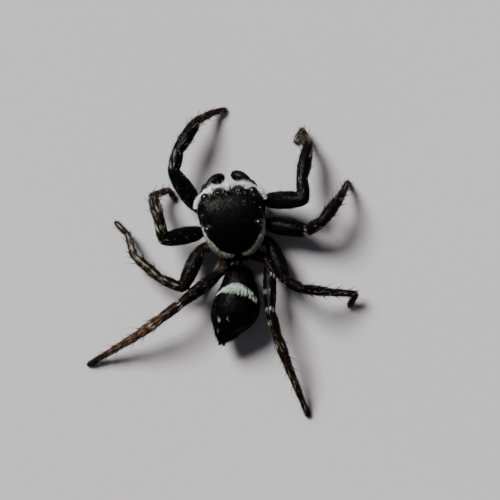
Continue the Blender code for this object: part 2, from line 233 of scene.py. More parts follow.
# How each leg is held: heading of each segment from the femur on, and height of its far end
POSES = {
    "leg_1_left": ((34, 1.45), (-12, 1.30), (-32, 1.05), (-59, 0.40), (-75, 0.08)),
    "leg_1_right": ((89, 1.75), (-5, 1.50), (11, 1.00), (-17, 0.36), (-151, 0.08)),
    "leg_2_left": ((102, 1.50), (12, 1.70), (17, 0.90), (-67, 0.36), (-148, 0.08)),
    "leg_2_right": ((100, 1.15), (58, 1.60), (37, 1.25), (28, 0.56), (34, 0.08)),
    "leg_3_left": ((156, 1.05), (67, 1.22), (49, 1.15), (17, 0.42), (45, 0.08)),
    "leg_3_right": ((159, 1.19), (118, 1.83), (97, 1.15), (94, 0.62), (-152, 0.08)),
    "leg_4_left": ((128, 1.45), (127, 1.50), (126, 1.06), (121, 0.42), (120, 0.08)),
    "leg_4_right": ((179, 1.55), (165, 1.42), (160, 1.15), (158, 0.50), (159, 0.08)),
}
FLESH = ("carapace", "sternum", "pedicel", "abdomen") + tuple(
    f"{name}_{side}" for name in ("chelicera", "palp") for side in ("left", "right")
)
PARTS = FLESH + tuple(POSES)

# How brown the skin and dark hairs are and what share of the hairs is pale, from the coxa on
LEG_TONES = {
    1: (0.12, 0.05, 0.00, 0.00, 0.00, 0.12, 0.18),
    2: (0.14, 0.06, 0.00, 0.04, 0.06, 0.18, 0.22),
    3: (0.12, 0.11, 0.02, 0.08, 0.12, 0.16, 0.08),
    4: (0.12, 0.11, 0.02, 0.12, 0.42, 0.40, 0.10),
}
LEG_PALENESS = {
    1: (0.02, 0.01, 0.01, 0.04, 0.02, 0.03, 0.05),
    2: (0.03, 0.02, 0.01, 0.14, 0.10, 0.08, 0.17),
    3: (0.05, 0.04, 0.02, 0.18, 0.17, 0.18, 0.19),
    4: (0.04, 0.03, 0.02, 0.07, 0.035, 0.09, 0.05),
}
# Painted shade: how much of that brown and pale the right legs keep, darkened as if they lay in the body's
# shadow
LEG_KEPT_IN_SHADE = {"leg_1_right": 0.5, "leg_2_right": 0.3, "leg_3_right": 0.25, "leg_4_right": 0.28}
# Pale marks: leg, segment, share along it, half length, heading they face (None: all round), paleness
LEG_MARKS = (
    ("leg_1_left", "patella", 0.50, 0.50, 100, 0.30),
    ("leg_1_right", "patella", 0.50, 0.50, -100, 0.14),
    ("leg_1_right", "metatarsus", 0.60, 0.50, None, 0.09),
    ("leg_1_right", "tarsus", 0.50, 0.60, None, 0.50),
    ("leg_2_left", "patella", 0.50, 0.50, 100, 0.45),
    ("leg_2_left", "tibia", 0.30, 0.12, None, 0.35),
    ("leg_2_right", "femur", 0.98, 0.04, None, 0.60),
    ("leg_2_right", "patella", 0.60, 0.30, 100, 0.25),
    ("leg_3_right", "patella", 0.10, 0.10, None, 0.50),
    ("leg_4_left", "patella", 0.05, 0.05, None, 0.50),
    ("leg_4_left", "tibia", 0.30, 0.10, None, 0.35),
    ("leg_4_right", "femur", 0.26, 0.05, 90, 0.40),
    ("leg_4_right", "femur", 0.60, 0.045, -60, 0.35),
    ("leg_4_right", "femur", 0.97, 0.03, None, 0.65),
    ("leg_4_right", "patella", 0.45, 0.25, -50, 0.30),
    ("leg_4_right", "tibia", 0.30, 0.10, -60, 0.35),
    ("leg_3_right", "trochanter", 0.30, 0.60, 0, 0.40),
)

# The cream band round the carapace's rear, as (left, ahead, half width) of its left half
REAR_BAND = (
    (1.19, 1.68, 0.010),
    (1.14, 1.34, 0.040),
    (1.09, 1.08, 0.060),
    (1.00, 0.90, 0.090),
    (0.90, 0.73, 0.115),
    (0.75, 0.52, 0.120),
    (0.52, 0.38, 0.100),
    (0.30, 0.32, 0.060),
    (0.12, 0.33, 0.020),
)
# The mint crescent over the abdomen: left, its front edge and its rear edge behind the front end
CRESCENT = (
    (-0.93, 1.00, 1.05),
    (-0.77, 0.83, 1.03),
    (-0.46, 0.65, 0.95),
    (-0.12, 0.54, 0.90),
    (0.17, 0.61, 0.92),
    (0.39, 0.78, 0.94),
    (0.50, 0.88, 1.02),
    (0.67, 1.13, 1.18),
)
# Painted highlight: faint pale patches behind the front eyes that stand in for the head's sheen, set on both
# sides: left, ahead, half width, paleness
CROWN_SHEEN_PATCHES = ((0.50, 2.26, 0.12, 0.11), (0.0, 2.38, 0.10, 0.07), (0.86, 2.18, 0.06, 0.12))
# Pale dots near the spinnerets: left, behind, half length, half width, turn in degrees
DOTS = (
    (0.36, 2.02, 0.095, 0.024, -58),
    (0.06, 1.92, 0.030, 0.020, 0),
    (0.32, 2.46, 0.06, 0.025, -20),
)

# Spines of each segment: share along it, turn round the leg from its top, length
SPINES = {
    "femur": ((0.35, 0, 0.26), (0.62, -14, 0.28), (0.85, 16, 0.26)),
    "patella": ((0.80, -60, 0.20),),
    "tibia": (
        (0.25, 70, 0.32),
        (0.25, -70, 0.32),
        (0.50, 150, 0.34),
        (0.55, -150, 0.34),
        (0.72, 75, 0.35),
        (0.75, -75, 0.35),
        (0.92, 130, 0.30),
        (0.92, -130, 0.30),
    ),
    "metatarsus": (
        (0.10, 75, 0.33),
        (0.12, -75, 0.33),
        (0.35, 140, 0.32),
        (0.38, -140, 0.32),
        (0.62, 80, 0.30),
        (0.64, -80, 0.30),
        (0.95, 60, 0.20),
        (0.95, -60, 0.20),
    ),
}

# Kinds of hair: length, thickness in usual ones, lift off the skin, spread to the sides, curl, rings,
# and the share that is pale (None: as the place is marked)
HAIRS = {
    "brow": (0.14, 1.1, 0.30, 0.20, 0.12, 2, 0.08),
    "carapace": (0.13, 1.0, 0.30, 0.20, 0.12, 2, None),
    "rear_band": (0.16, 1.35, 0.28, 0.12, 0.12, 2, None),
    "underside": (0.12, 1.0, 0.40, 0.20, 0.12, 2, None),
    "carapace_bristle": (0.34, 1.0, 0.80, 0.40, 0.20, 3, 0.0),
    "abdomen": (0.15, 1.0, 0.28, 0.20, 0.12, 2, None),
    "crescent": (0.15, 1.4, 0.26, 0.10, 0.12, 2, None),
    "abdomen_bristle": (0.30, 1.0, 0.70, 0.35, 0.20, 3, 0.0),
    "end_tuft": (0.30, 1.0, 0.42, 0.36, 0.10, 3, 0.0),
    "palp": (0.11, 0.9, 0.40, 0.20, 0.12, 2, None),
    "palp_white": (0.17, 1.3, 0.55, 0.30, 0.12, 2, None),
    "leg": (0.13, 1.0, 0.34, 0.20, 0.12, 2, None),
    "leg_bristle": (0.22, 1.0, 0.62, 0.30, 0.20, 3, None),
    "leg_wisp": (0.36, 0.7, 1.00, 0.30, 0.20, 3, 0.35),
    "foot_pad": (0.13, 1.0, 0.50, 0.50, 0.00, 2, 0.05),
}
# Hairs on each square millimetre, for the kinds that have no setting
BROW_HAIRS = 2400.0
UNDERSIDE_HAIRS = 260.0
CARAPACE_BRISTLES = 9.0
ABDOMEN_BRISTLES = 14.0
END_BRISTLES = 22.0  # and so many more at the abdomen's two ends
END_TUFTS = 900.0
PALP_HAIRS = 500.0
LEG_BRISTLES = 70.0
LEG_WISPS = 24.0
FOOT_PAD = 1500.0
MOUSTACHE_THICKNESS = 2.0
# How much hairs of one kind differ in length, in the coat and in the moustache
UNEVEN = 0.22
MOUSTACHE_UNEVEN = 0.13


def length_property(name, description, default, low=0.0):
    return FloatProperty(
        name=name, description=description, default=default, min=low, precision=6, unit="LENGTH"
    )


def angle_property(name, description, degrees):
    return FloatProperty(name=name, description=description, default=math.radians(degrees), subtype="ANGLE")


def count_property(name, description, default, kind=FloatProperty):
    return kind(name=name, description=description, default=default, min=0)


class SpiderForm(bpy.types.PropertyGroup):
    """How fine the skin is, and how deep it lies under the coat."""

    coat_depth: length_property("Coat Depth", "How far the skin lies inside the body's outline", 0.00003)
    skin_grain: length_property("Skin Grain", "Size of the skin's facets", 0.00004, 0.00002)
    smoothing: count_property(
        "Smoothing", "How often the skin is smoothed after its forms are joined", 4, IntProperty
    )
    spine_width: length_property("Spine Width", "Thickness of a spine at its root", 0.000038)


class SpiderCoat(bpy.types.PropertyGroup):
    """How many hairs each square millimetre has, and how thick they are."""

    body_hairs: count_property(
        "Body Hairs", "Dark hairs per square mm of the abdomen and carapace sides", 1100
    )
    crown_hairs: count_property("Crown Hairs", "Dark hairs per square mm of the glossy top of the head", 900)
    leg_hairs: count_property("Leg Hairs", "Short hairs per square mm of the legs", 1050)
    pale_hairs: count_property("Pale Hairs", "Hairs per square mm of a pale mark", 2300)
    hair_width: length_property("Hair Width", "Thickness of a dark hair at its root", 0.0000105)
    seed: IntProperty(name="Seed", description="Number that the hairs' chances start from", default=7)


def colour_property(name, description, default):
    return FloatVectorProperty(
        name=name, description=description, default=default, subtype="COLOR", min=0, max=1
    )


class SpiderColours(bpy.types.PropertyGroup):
    """The animal's colours."""

    black: colour_property("Black", "The darkest skin and hair", (0.0021, 0.0021, 0.0024))
    brown: colour_property("Brown", "Thin skin at the hips and feet", (0.070, 0.032, 0.018))
    amber: colour_property("Amber", "The lightest shanks", (0.360, 0.190, 0.085))
    white: colour_property("White", "The band round the face", (0.900, 0.960, 0.950))
    mint: colour_property("Mint", "The crescent on the abdomen", (0.620, 0.760, 0.650))
    cream: colour_property("Cream", "The band round the carapace's rear", (0.640, 0.650, 0.540))
    ash: colour_property("Ash", "Pale hairs on the legs", (0.430, 0.425, 0.350))
    lens: colour_property("Lens", "The eyes", (0.002, 0.002, 0.003))
    claw: colour_property("Claw", "Fangs, claws and spines", (0.018, 0.008, 0.005))
    floor: colour_property("Floor", "The plain floor", (0.560, 0.545, 0.560))


class SpiderStage(bpy.types.PropertyGroup):
    """The camera, the light and the floor."""

    camera_place: FloatVectorProperty(
        name="Camera",
        description="Where the camera hangs, looking straight down",
        default=(-0.001061, -0.000439, 0.110),
        precision=6,
        subtype="TRANSLATION",
        unit="LENGTH",
    )
    view_width: length_property("View Width", "Width of floor that the camera takes in", 0.01925)
    sun_heading: angle_property("Light From", "Where the light comes from, turned from -Y towards +X", 43)
    sun_height: angle_property("Light Height", "How high the light stands over the floor", 44)
    sun_spread: angle_property("Light Spread", "How wide the light is, which softens shadows", 24)
    sun_strength: count_property("Light Strength", "Strength of the light", 6.3)
    fill_strength: count_property("Fill Strength", "Strength of the light from all round", 0.08)
    floor_size: length_property("Floor Size", "Width of the floor", 0.8)


# Places and frames


def turned_place(place, turn):
    return Matrix.Translation((*place, 0)) @ Matrix.Rotation(math.radians(turn), 4, "Z")


FRONT = turned_place(CARAPACE_REAR, HEAD_TURN)
REAR = turned_place(ABDOMEN_FRONT, ABDOMEN_TURN)


def front_point(left, ahead, up):
    return FRONT @ Vector((left, -ahead, up))


def rear_point(left, behind, up):
    return REAR @ Vector((left, behind, up))


def in_place_of(matrix, points):
    """Points in the model's frame, told in the frame of a placed body part."""
    back = np.array(matrix.inverted())
    return points @ back[:3, :3].T + back[:3, 3]


def laid(matrix, ways):
    """Ways in the frame of a placed body part, told in the model's frame."""
    return ways @ np.array(matrix.to_3x3()).T


def side_name(side):
    return "left" if side > 0 else "right"


def side_sign(name):
    return 1 if name.endswith("left") else -1


def unit(vectors):
    return vectors / np.maximum(np.linalg.norm(vectors, axis=1, keepdims=True), 1e-9)


def smooth_step(values, start, end):
    share = np.clip((values - start) / (end - start), 0, 1)
    return share * share * (3 - 2 * share)


def ragged(points, size):
    """An uneven pattern from 0 to 1 with lumps of about the given size."""
    x, y, z = (points / size * math.pi / 2).T
    waves = np.sin(x + 1.7 * np.sin(0.8 * y + 0.5)) + np.sin(1.1 * y + 1.9 * np.sin(0.9 * z))
    return 0.5 + (waves + np.sin(0.93 * z + 1.3 * np.sin(1.2 * x))) / 6


def spline(points, share):
    """The place at a share (0 to 1) of a smooth curve through evenly counted points."""
    spans = len(points) - 1
    span = min(int(share * spans), spans - 1)
    t = share * spans - span
    before, start, end, after = (points[min(max(span + k, 0), spans)] for k in (-1, 0, 1, 2))
    return tuple(
        b + t * (c - a) / 2 + t * t * (a - 2.5 * b + 2 * c - d / 2) + t**3 * (1.5 * (b - c) + (d - a) / 2)
        for a, b, c, d in zip(before, start, end, after)
    )


def spline_rows(table, count):
    return [spline(table, k / (count - 1)) for k in range(count)]


# Forms


def loft(rings):
    """A closed form through rings of points: a filled circle is extruded from each ring to the next."""
    bm = bmesh.new()
    bmesh.ops.create_circle(bm, cap_ends=True, segments=len(rings[0]), radius=1)
    first = cap = bm.faces[:][0]
    for vert, point in zip(cap.verts, rings[0]):
        vert.co = point
    for ring in rings[1:]:
        grown = bmesh.ops.extrude_face_region(bm, geom=[cap])["geom"]
        if cap is not first:
            bm.faces.remove(cap)
        cap = next(item for item in grown if isinstance(item, bmesh.types.BMFace))
        for vert, point in zip(cap.verts, ring):
            vert.co = point
    bmesh.ops.recalc_face_normals(bm, faces=bm.faces)
    return bm


def oval(half_width, top, bottom, shoulder, sides, squareness=2.5, underside=3.4):
    """Points (across, up) of a cross-section that is widest at the height shoulder."""
    points = []
    for k in range(sides):
        angle = math.tau * k / sides
        across, up = math.cos(angle), math.sin(angle)
        power = 2 / (squareness if up >= 0 else underside)
        reach = top - shoulder if up >= 0 else shoulder - bottom
        x = math.copysign(abs(across) ** power, across) * half_width
        points.append((x, shoulder + math.copysign(abs(up) ** power, up) * reach))
    return points


def swept_rings(stations, sides, depth=1.0):
    """Round rings square to a path of (centre, radius) stations, without twist between them."""
    centres = [Vector(centre) for centre, _ in stations]
    rings = []
    side = None
    for k, (_, radius) in enumerate(stations):
        along = (centres[min(k + 1, len(centres) - 1)] - centres[max(k - 1, 0)]).normalized()
        if side is None:
            side = along.cross(Vector((0, 0, 1)))
        side = (side - along * side.dot(along)).normalized()
        over = side.cross(along) * depth
        turns = [math.tau * n / sides for n in range(sides)]
        rings.append([centres[k] + radius * (math.cos(a) * side + math.sin(a) * over) for a in turns])
    return rings


def tube(stations, sides, depth=1.0):
    return loft(swept_rings(stations, sides, depth))


def rounded_ends(rings):
    """Adds smaller rings past both ends, so that a form closes in a dome."""
    for end, inner in ((0, 1), (-1, -2)):
        middle = sum((Vector(p) for p in rings[end]), Vector()) / len(rings[end])
        before = sum((Vector(p) for p in rings[inner]), Vector()) / len(rings[inner])
        out = (middle - before).normalized()
        extra = []
        for shrink, reach in ((0.9, 0.02), (0.6, 0.045), (0.25, 0.055)):
            extra.append([middle + (Vector(p) - middle) * shrink + out * reach for p in rings[end]])
        rings = extra[::-1] + rings if end == 0 else rings + extra
    return rings


def ball(centre, radius, segments=40):
    bm = bmesh.new()
    bmesh.ops.create_uvsphere(bm, u_segments=segments, v_segments=segments // 2, radius=radius)
    bmesh.ops.translate(bm, verts=bm.verts, vec=centre)
    return bm


def carapace_edge(ahead):
    """Height of the carapace's lower edge, at one place or at many."""
    share = ahead / CARAPACE[-1][0]
    return CARAPACE_EDGE_REAR + (CARAPACE_EDGE_FRONT - CARAPACE_EDGE_REAR) * share**2


def carapace_form(depth):
    rings = []
    for ahead, half_width, roof in spline_rows(CARAPACE, BODY_RINGS):
        edge = carapace_edge(ahead)
        shoulder = edge + CARAPACE_SHOULDER * (roof - edge)
        ahead = ahead + depth * (1 - 2 * ahead / CARAPACE[-1][0]) * 1.8
        section = oval(half_width - depth, roof - depth, edge + depth, shoulder, BODY_SIDES)
        rings.append([front_point(x, ahead, z) for x, z in section])
    return loft(rounded_ends(rings))


def every_eye():
    """Each eye's name, centre and radius, and the way it looks."""
    for name, ((left, ahead, up), radius, look) in EYES.items():
        for side in (1, -1):
            centre = front_point(side * left, ahead, up)
            way = (FRONT.to_3x3() @ Vector((side * look[0], -look[1], look[2]))).normalized()
            yield f"{name}_{side_name(side)}", centre, radius, way


def abdomen_bow(behind):
    """How far the abdomen's middle line lies to the left of its straight axis."""
    return -ABDOMEN_BOW * math.sin(math.pi * behind / ABDOMEN_BOW_LENGTH)


def abdomen_form(depth):
    rings = []
    for behind, half_width, back, belly in spline_rows(ABDOMEN, BODY_RINGS):
        bow = abdomen_bow(behind)
        middle = (back + belly) / 2
        section = oval(half_width - depth, back - depth, belly + depth, middle, BODY_SIDES, 2.15, 2.3)
        rings.append([rear_point(x + bow, behind, z) for x, z in section])
    return loft(rounded_ends(rings))


def sternum_form():
    rings = []
    for ahead, half_width in spline_rows(STERNUM, 30):
        bottom = STERNUM_TOP - (STERNUM_TOP - STERNUM_BOTTOM) * (0.55 + 0.45 * half_width / STERNUM_WIDEST)
        middle = (STERNUM_TOP + bottom) / 2
        section = oval(half_width, STERNUM_TOP + 0.1, bottom, middle, 40, 3.5)
        rings.append([front_point(x, ahead, z) for x, z in section])
    return loft(rings)


def egg(centre, radii, side=1):
    """A stretched ball in the front body's frame."""
    bm = bmesh.new()
    bmesh.ops.create_uvsphere(bm, u_segments=32, v_segments=16, radius=1)
    left, ahead, up = centre
    place = FRONT @ Matrix.Translation((side * left, -ahead, up)) @ Matrix.Diagonal((*radii, 1))
    bmesh.ops.transform(bm, matrix=place, verts=bm.verts)
    return bm


def chelicera_form(side):
    rings = []
    for up, ahead, half_width, half_depth in spline_rows(CHELICERA, 24):
        ring = []
        for n in range(28):
            angle = math.tau * n / 28
            across = side * CHELICERA_LEFT + half_width * math.cos(angle)
            ring.append(front_point(across, ahead - half_depth * math.sin(angle), up))
        rings.append(ring)
    return loft(rings)


def palp_path(side):
    held = PALP_BASE + PALP_ENDS[side_name(side)]
    stations = []
    for k in range(90):
        left, ahead, up, radius = spline(held, k / 89)
        joint = min(abs(k / 89 - share) for share in PALP_JOINTS) / PALP_PINCH_REACH
        radius *= 1 - PALP_PINCH * math.exp(-joint * joint)
        stations.append((front_point(side * left, ahead, up), radius))
    return stations


def leg_joints(name):
    """The leg's joints: the coxa's two ends, then each segment's far end."""
    pair, side = int(name.split("_")[1]), side_sign(name)
    joints = []
    for left, ahead in (COXA_STARTS[pair], COXA_ENDS[name]):
        joints.append(front_point(side * left, ahead, COXA_HEIGHT))
    coxa = joints[1] - joints[0]
    coxa_heading = math.degrees(math.atan2(side * coxa.x, -coxa.y))
    halfway = (coxa_heading + POSES[name][0][0]) / 2
    pose = ((halfway, FEMUR_START_HEIGHT),) + POSES[name]
    for length, (heading, height) in zip(LENGTHS[pair], pose):
        drop = height - joints[-1].z
        reach = math.sqrt(length**2 - drop**2)
        turn = math.radians(heading)
        joints.append(joints[-1] + Vector((side * reach * math.sin(turn), -reach * math.cos(turn), drop)))
    return joints


def leg_stations(name):
    """The leg's centres and radii, its bends rounded by averaging along the path."""
    joints = leg_joints(name)
    radii = RADII[int(name.split("_")[1])]
    inward = (joints[0] - joints[1]).normalized()
    centres, sizes = [joints[0] + inward * reach for reach in (0.25, 0.17, 0.08)], [0.12] * 3
    for k, segment in enumerate(SEGMENTS):
        start, end = joints[k], joints[k + 1]
        steps = max(4, round((end - start).length / 0.04))
        shares, swells = zip(*SWELLS[segment])
        for n in range(steps):
            centres.append(start.lerp(end, n / steps))
            sizes.append(radii[k] * float(np.interp(n / steps, shares, swells)))
    centres.append(joints[-1])
    sizes.append(radii[-1] * SWELLS["tarsus"][-1][1])
    places = np.array([list(centre) + [size] for centre, size in zip(centres, sizes)])
    for _ in range(6):
        places[1:-1] = places[:-2] * 0.25 + places[1:-1] * 0.5 + places[2:] * 0.25
    return [(Vector(row[:3]), float(row[3])) for row in places]


def flesh_forms(depth):
    """Every form of flesh, as pairs of a part's name and a bmesh in millimetres."""
    yield "carapace", carapace_form(depth)
    for _, centre, radius, way in every_eye():
        rim = radius * RIM_SIZE + RIM_WIDTH
        yield "carapace", ball(centre - way * radius * RIM_SETBACK, rim)
    yield "sternum", sternum_form()
    yield "sternum", egg(*SKIRT)
    yield "sternum", egg(*LIP)
    for side in (1, -1):
        yield "sternum", egg(*MAXILLA, side)
        yield f"chelicera_{side_name(side)}", chelicera_form(side)
        yield f"palp_{side_name(side)}", tube(palp_path(side), 24)
    waist = [(front_point(0, 0.25, PEDICEL_HEIGHT), PEDICEL_RADIUS)]
    waist.append((rear_point(0, 0.15, PEDICEL_HEIGHT), PEDICEL_RADIUS))
    yield "pedicel", tube(waist, 24)
    yield "abdomen", abdomen_form(depth)
    for name in POSES:
        yield name, tube(leg_stations(name), 20, 1.06)


def check_form(part, bm):
    """Stops the script if the form of a leg, palp, carapace or abdomen leaves its solid in the frame."""
    if part in ("sternum", "pedicel") or part.startswith("chelicera"):
        return  # these reach into their neighbours, so that the skin joins them
    low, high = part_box(part)
    for vert in bm.verts:
        if any(not low[k] - FORM_SLACK <= vert.co[k] * MM <= high[k] + FORM_SLACK for k in range(3)):
            raise RuntimeError(f"{part} leaves its solid at {tuple(vert.co)}")


# Finished pieces


def linked(name, data):
    made = bpy.data.objects.new(name, data)
    bpy.context.scene.collection.objects.link(made)
    return made


def finish_piece(name, mesh, finish, slot, replaced=()):
    """Links a mesh in millimetres as a piece in metres, riding on the body."""
    mesh.transform(Matrix.Scale(MM, 4))
    mesh.shade_smooth()
    mesh.materials.append(finish)
    piece = linked(name, mesh)
    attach(piece, BODY)
    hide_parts(*replaced)
    return piece


def mesh_of(name, bms):
    """One mesh of several bmeshes, which are freed."""
    whole = bmesh.new()
    for bm in bms:
        part = bpy.data.meshes.new("part")
        bm.to_mesh(part)
        bm.free()
        whole.from_mesh(part)
        bpy.data.meshes.remove(part)
    mesh = bpy.data.meshes.new(name)
    whole.to_mesh(mesh)
    whole.free()
    return mesh


def remeshed(mesh, grain):
    """The mesh's outer surface as one closed skin of even facets."""
    holder = linked("forms", mesh)
    remesh = holder.modifiers.new("skin", "REMESH")
    remesh.mode = "VOXEL"
    remesh.voxel_size = grain
    remesh.use_smooth_shade = True
    shaped = holder.evaluated_get(bpy.context.evaluated_depsgraph_get())
    skin = bpy.data.meshes.new_from_object(shaped)
    bpy.data.objects.remove(holder)
    bpy.data.meshes.remove(mesh)
    return skin


def smoothed(mesh, times):
    bm = bmesh.new()
    bm.from_mesh(mesh)
    for _ in range(times):
        bmesh.ops.smooth_vert(
            bm, verts=bm.verts, factor=0.5, use_axis_x=True, use_axis_y=True, use_axis_z=True
        )
    bmesh.ops.recalc_face_normals(bm, faces=bm.faces)
    bm.to_mesh(mesh)
    bm.free()


def carry(mesh, tag, values, kind="FLOAT"):
    """Stores a value or a vector for each vertex."""
    numbers = np.asarray(values).astype(np.int32 if kind == "INT" else np.float32).ravel()
    field = "vector" if kind == "FLOAT_VECTOR" else "value"
    mesh.attributes.new(tag, kind, "POINT").data.foreach_set(field, numbers)


# Where a place on the body lies along, around and on the skin's unwrap, and how it is marked


def along_path(points, path):
    """For each point: the nearest span of a path, the share of that span and the way out from it."""
    nearest = np.full(len(points), np.inf)
    span = np.zeros(len(points), int)
    share = np.zeros(len(points))
    for k in range(len(path) - 1):
        start, reach = path[k], path[k + 1] - path[k]
        t = np.clip((points - start) @ reach / (reach @ reach), 0, 1)
        away = np.linalg.norm(points - start - t[:, None] * reach, axis=1)
        closer = away < nearest
        nearest[closer], span[closer], share[closer] = away[closer], k, t[closer]
    reach = (path[1:] - path[:-1])[span]
    out = unit(points - path[span] - share[:, None] * reach)
    way = unit(reach)
    side = unit(np.cross(way, (0.0, 0.0, 1.0)))
    over = np.cross(side, way)
    around = np.arctan2((out * side).sum(1), (out * over).sum(1))
    lengths = np.linalg.norm(path[1:] - path[:-1], axis=1)
    run = np.concatenate(([0], np.cumsum(lengths)))[span] + share * lengths[span]
    return span, share, way, around, run, lengths.sum()


def globe_unwrap(local, centre):
    """Unwraps a rounded form from its inside: the back in the middle, the belly round the edge."""
    out = unit(local - centre)
    down = np.arccos(np.clip(out[:, 2], -1, 1)) / math.pi
    flat = unit(out[:, :2])
    return 0.5 + 0.49 * down[:, None] * flat


def tube_unwrap(along, around):
    """Unwraps a limb, cut along its underside."""
    return np.stack((0.01 + along, 0.01 + 0.97 * (around / math.tau + 0.5)), 1)


class Survey:
    """What is known of each place: lie of the coat, unwrap, grain, and how brown and pale it is."""

    def __init__(self, count):
        self.lie = np.zeros((count, 3))
        self.unwrap = np.zeros((count, 2))
        self.grain = np.zeros((count, 3))
        self.tone = np.zeros(count)
        self.pale = np.zeros(count)
        self.hue = np.zeros(count)  # 0 white, 1 mint, 2 cream, 3 ash
        self.segment = np.full(count, -1)
        self.share = np.zeros(count)


def band_mask(left, ahead, band):
    """How far inside a band of (left, ahead, half width) points each place lies, from 0 to 1."""
    line = np.array(band)
    mask = np.zeros(len(left))
    places = np.stack((np.abs(left), ahead), 1)
    for start, end in zip(line[:-1], line[1:]):
        reach = end[:2] - start[:2]
        t = np.clip((places - start[:2]) @ reach / (reach @ reach), 0, 1)
        away = np.linalg.norm(places - start[:2] - t[:, None] * reach, axis=1)
        half = start[2] + t * (end[2] - start[2])
        mask = np.maximum(mask, 1 - smooth_step(away, half * 0.8, half * 1.15))
    return mask


def survey_carapace(survey, here, points):
    local = in_place_of(FRONT, points)
    left, ahead, up = local[:, 0], -local[:, 1], local[:, 2]
    outward = np.stack((np.sign(left) * 0.25, np.ones(len(left)), np.full(len(left), -0.3)), 1)
    survey.lie[here] = laid(FRONT, outward)
    survey.unwrap[here] = globe_unwrap(local, (0, -1.5, 1.35))
    survey.grain[here] = np.stack((left + up, ahead, up), 1)
    table = np.array(CARAPACE)
    roof = np.interp(ahead, table[:, 0], table[:, 2])
    edge = carapace_edge(ahead)
    shoulder = edge + CARAPACE_SHOULDER * (roof - edge)
    above = smooth_step(up, shoulder + 0.02, shoulder + 0.10)
    rear = band_mask(left, ahead, REAR_BAND) * above
    face = face_mask(left, ahead, up)
    fringe = fringe_mask(local)
    rear = smooth_step(rear + 0.5 * (ragged(points, 0.05) - 0.5), 0.3, 0.7)
    # painted highlight: pale patches behind the front eyes that stand in for the head's sheen
    sheen_patches = np.zeros(len(left))
    for patch_left, patch_ahead, half, paleness in CROWN_SHEEN_PATCHES:
        away = np.hypot(np.abs(left) - patch_left, ahead - patch_ahead) / half
        sheen_patches = np.maximum(sheen_patches, paleness * (1 - smooth_step(away, 0.6, 1.2)) * (up > 1.7))
    survey.pale[here] = np.maximum(np.maximum(np.maximum(rear, face), fringe * 0.2), sheen_patches)
    survey.hue[here] = np.where(face > 0.5, 0.0, np.where(rear > 0.05, 2.0, 3.0))
    survey.tone[here] = 0.10 * smooth_step(-up, -edge - 0.25, -edge)


def face_mask(left, ahead, up):
    """The white moustache: the strip under the front eyes, and the cheeks."""
    wide = np.abs(left)
    top = 1.17 + 0.30 * smooth_step(wide, 0.62, 1.05)
    strip = smooth_step(ahead, 2.52, 2.58) + smooth_step(ahead, 2.12, 2.30) * smooth_step(wide, 0.9, 1.0)
    return np.clip(strip, 0, 1) * (1 - smooth_step(up, top - 0.02, top + 0.03)) * smooth_step(up, 1.0, 1.04)


def fringe_mask(local):
    """Pale hairs round the upper rims of the front eyes."""
    mask = np.zeros(len(local))
    for name in ("front_middle", "front_side"):
        (left, ahead, up), radius, _ = EYES[name]
        for side in (1, -1):
            away = np.linalg.norm(local - (side * left, -ahead, up), axis=1) - radius
            over = smooth_step(local[:, 2], up + 0.4 * radius, up + 0.8 * radius)
            ring = (1 - smooth_step(away, 0.07, 0.13)) * over
            mask = np.maximum(mask, ring)
    return mask


def survey_abdomen(survey, here, points):
    local = in_place_of(REAR, points)
    left, behind, up = local.T
    survey.lie[here] = laid(REAR, np.tile((0.0, 1.0, -0.15), (len(left), 1)))
    survey.unwrap[here] = globe_unwrap(local, (abdomen_bow(1.3), 1.35, 1.12))
    survey.grain[here] = np.stack((left + up, behind, up), 1)
    table = np.array(CRESCENT)
    start = np.interp(left, table[:, 0], table[:, 1])
    end = np.interp(left, table[:, 0], table[:, 2])
    inside = smooth_step(behind, start - 0.03, start + 0.03)
    inside = inside * (1 - smooth_step(behind, end - 0.03, end + 0.03))
    across = smooth_step(left, -0.95, -0.86) * (1 - smooth_step(left, 0.66, 0.72))
    mark = inside * across * smooth_step(up, 1.15, 1.25)
    for centre_left, centre_behind, long, wide, degrees in DOTS:
        turned = math.radians(degrees)
        dx, dy = left - centre_left, behind - centre_behind
        a = (dx * math.sin(turned) + dy * math.cos(turned)) / long
        b = (dx * math.cos(turned) - dy * math.sin(turned)) / wide
        mark = np.maximum(mark, (1 - smooth_step(np.hypot(a, b), 0.8, 1.2)) * (up > 1.0))
    strands = ragged(np.stack((left, behind * 0.22, up * 0.22), 1), 0.035)
    sparse = (0.45 - 0.35 * left) * (1 - smooth_step(strands, 0.30, 0.55))
    survey.pale[here] = smooth_step(mark - sparse + 0.5 * (ragged(points, 0.06) - 0.5), 0.3, 0.7)
    survey.hue[here] = 1.0
    survey.tone[here] = 0.2 * smooth_step(-up, -0.75, -0.5)


def survey_front_piece(survey, here, points, part):
    """Sternum, pedicel and chelicerae."""
    local = in_place_of(FRONT, points)
    way = (0.0, -0.2, -1.0) if part.startswith("chelicera") else (0.0, 1.0, -0.1)
    survey.lie[here] = np.tile(laid(FRONT, np.array(way)), (len(points), 1))
    survey.unwrap[here] = globe_unwrap(local, local.mean(0))
    survey.grain[here] = local
    survey.tone[here] = 0.25
    survey.pale[here] = 0.06
    survey.hue[here] = 3.0


def survey_palp(survey, here, points, normals, part):
    path = np.array([list(centre) for centre, _ in palp_path(side_sign(part))])
    _, _, way, around, run, length = along_path(points, path)
    share = run / length
    survey.lie[here] = way
    survey.unwrap[here] = tube_unwrap(0.97 * share, around)
    survey.grain[here] = np.stack((around * 0.15, run, around), 1)
    white = smooth_step(share, 0.16, 0.22) * (1 - smooth_step(share, 0.44, 0.50))
    survey.pale[here] = white * smooth_step(normals[:, 2], -0.5, 0.0)
    survey.hue[here] = 0.0
    survey.tone[here] = 0.25 * (1 - smooth_step(share, 0.1, 0.3))


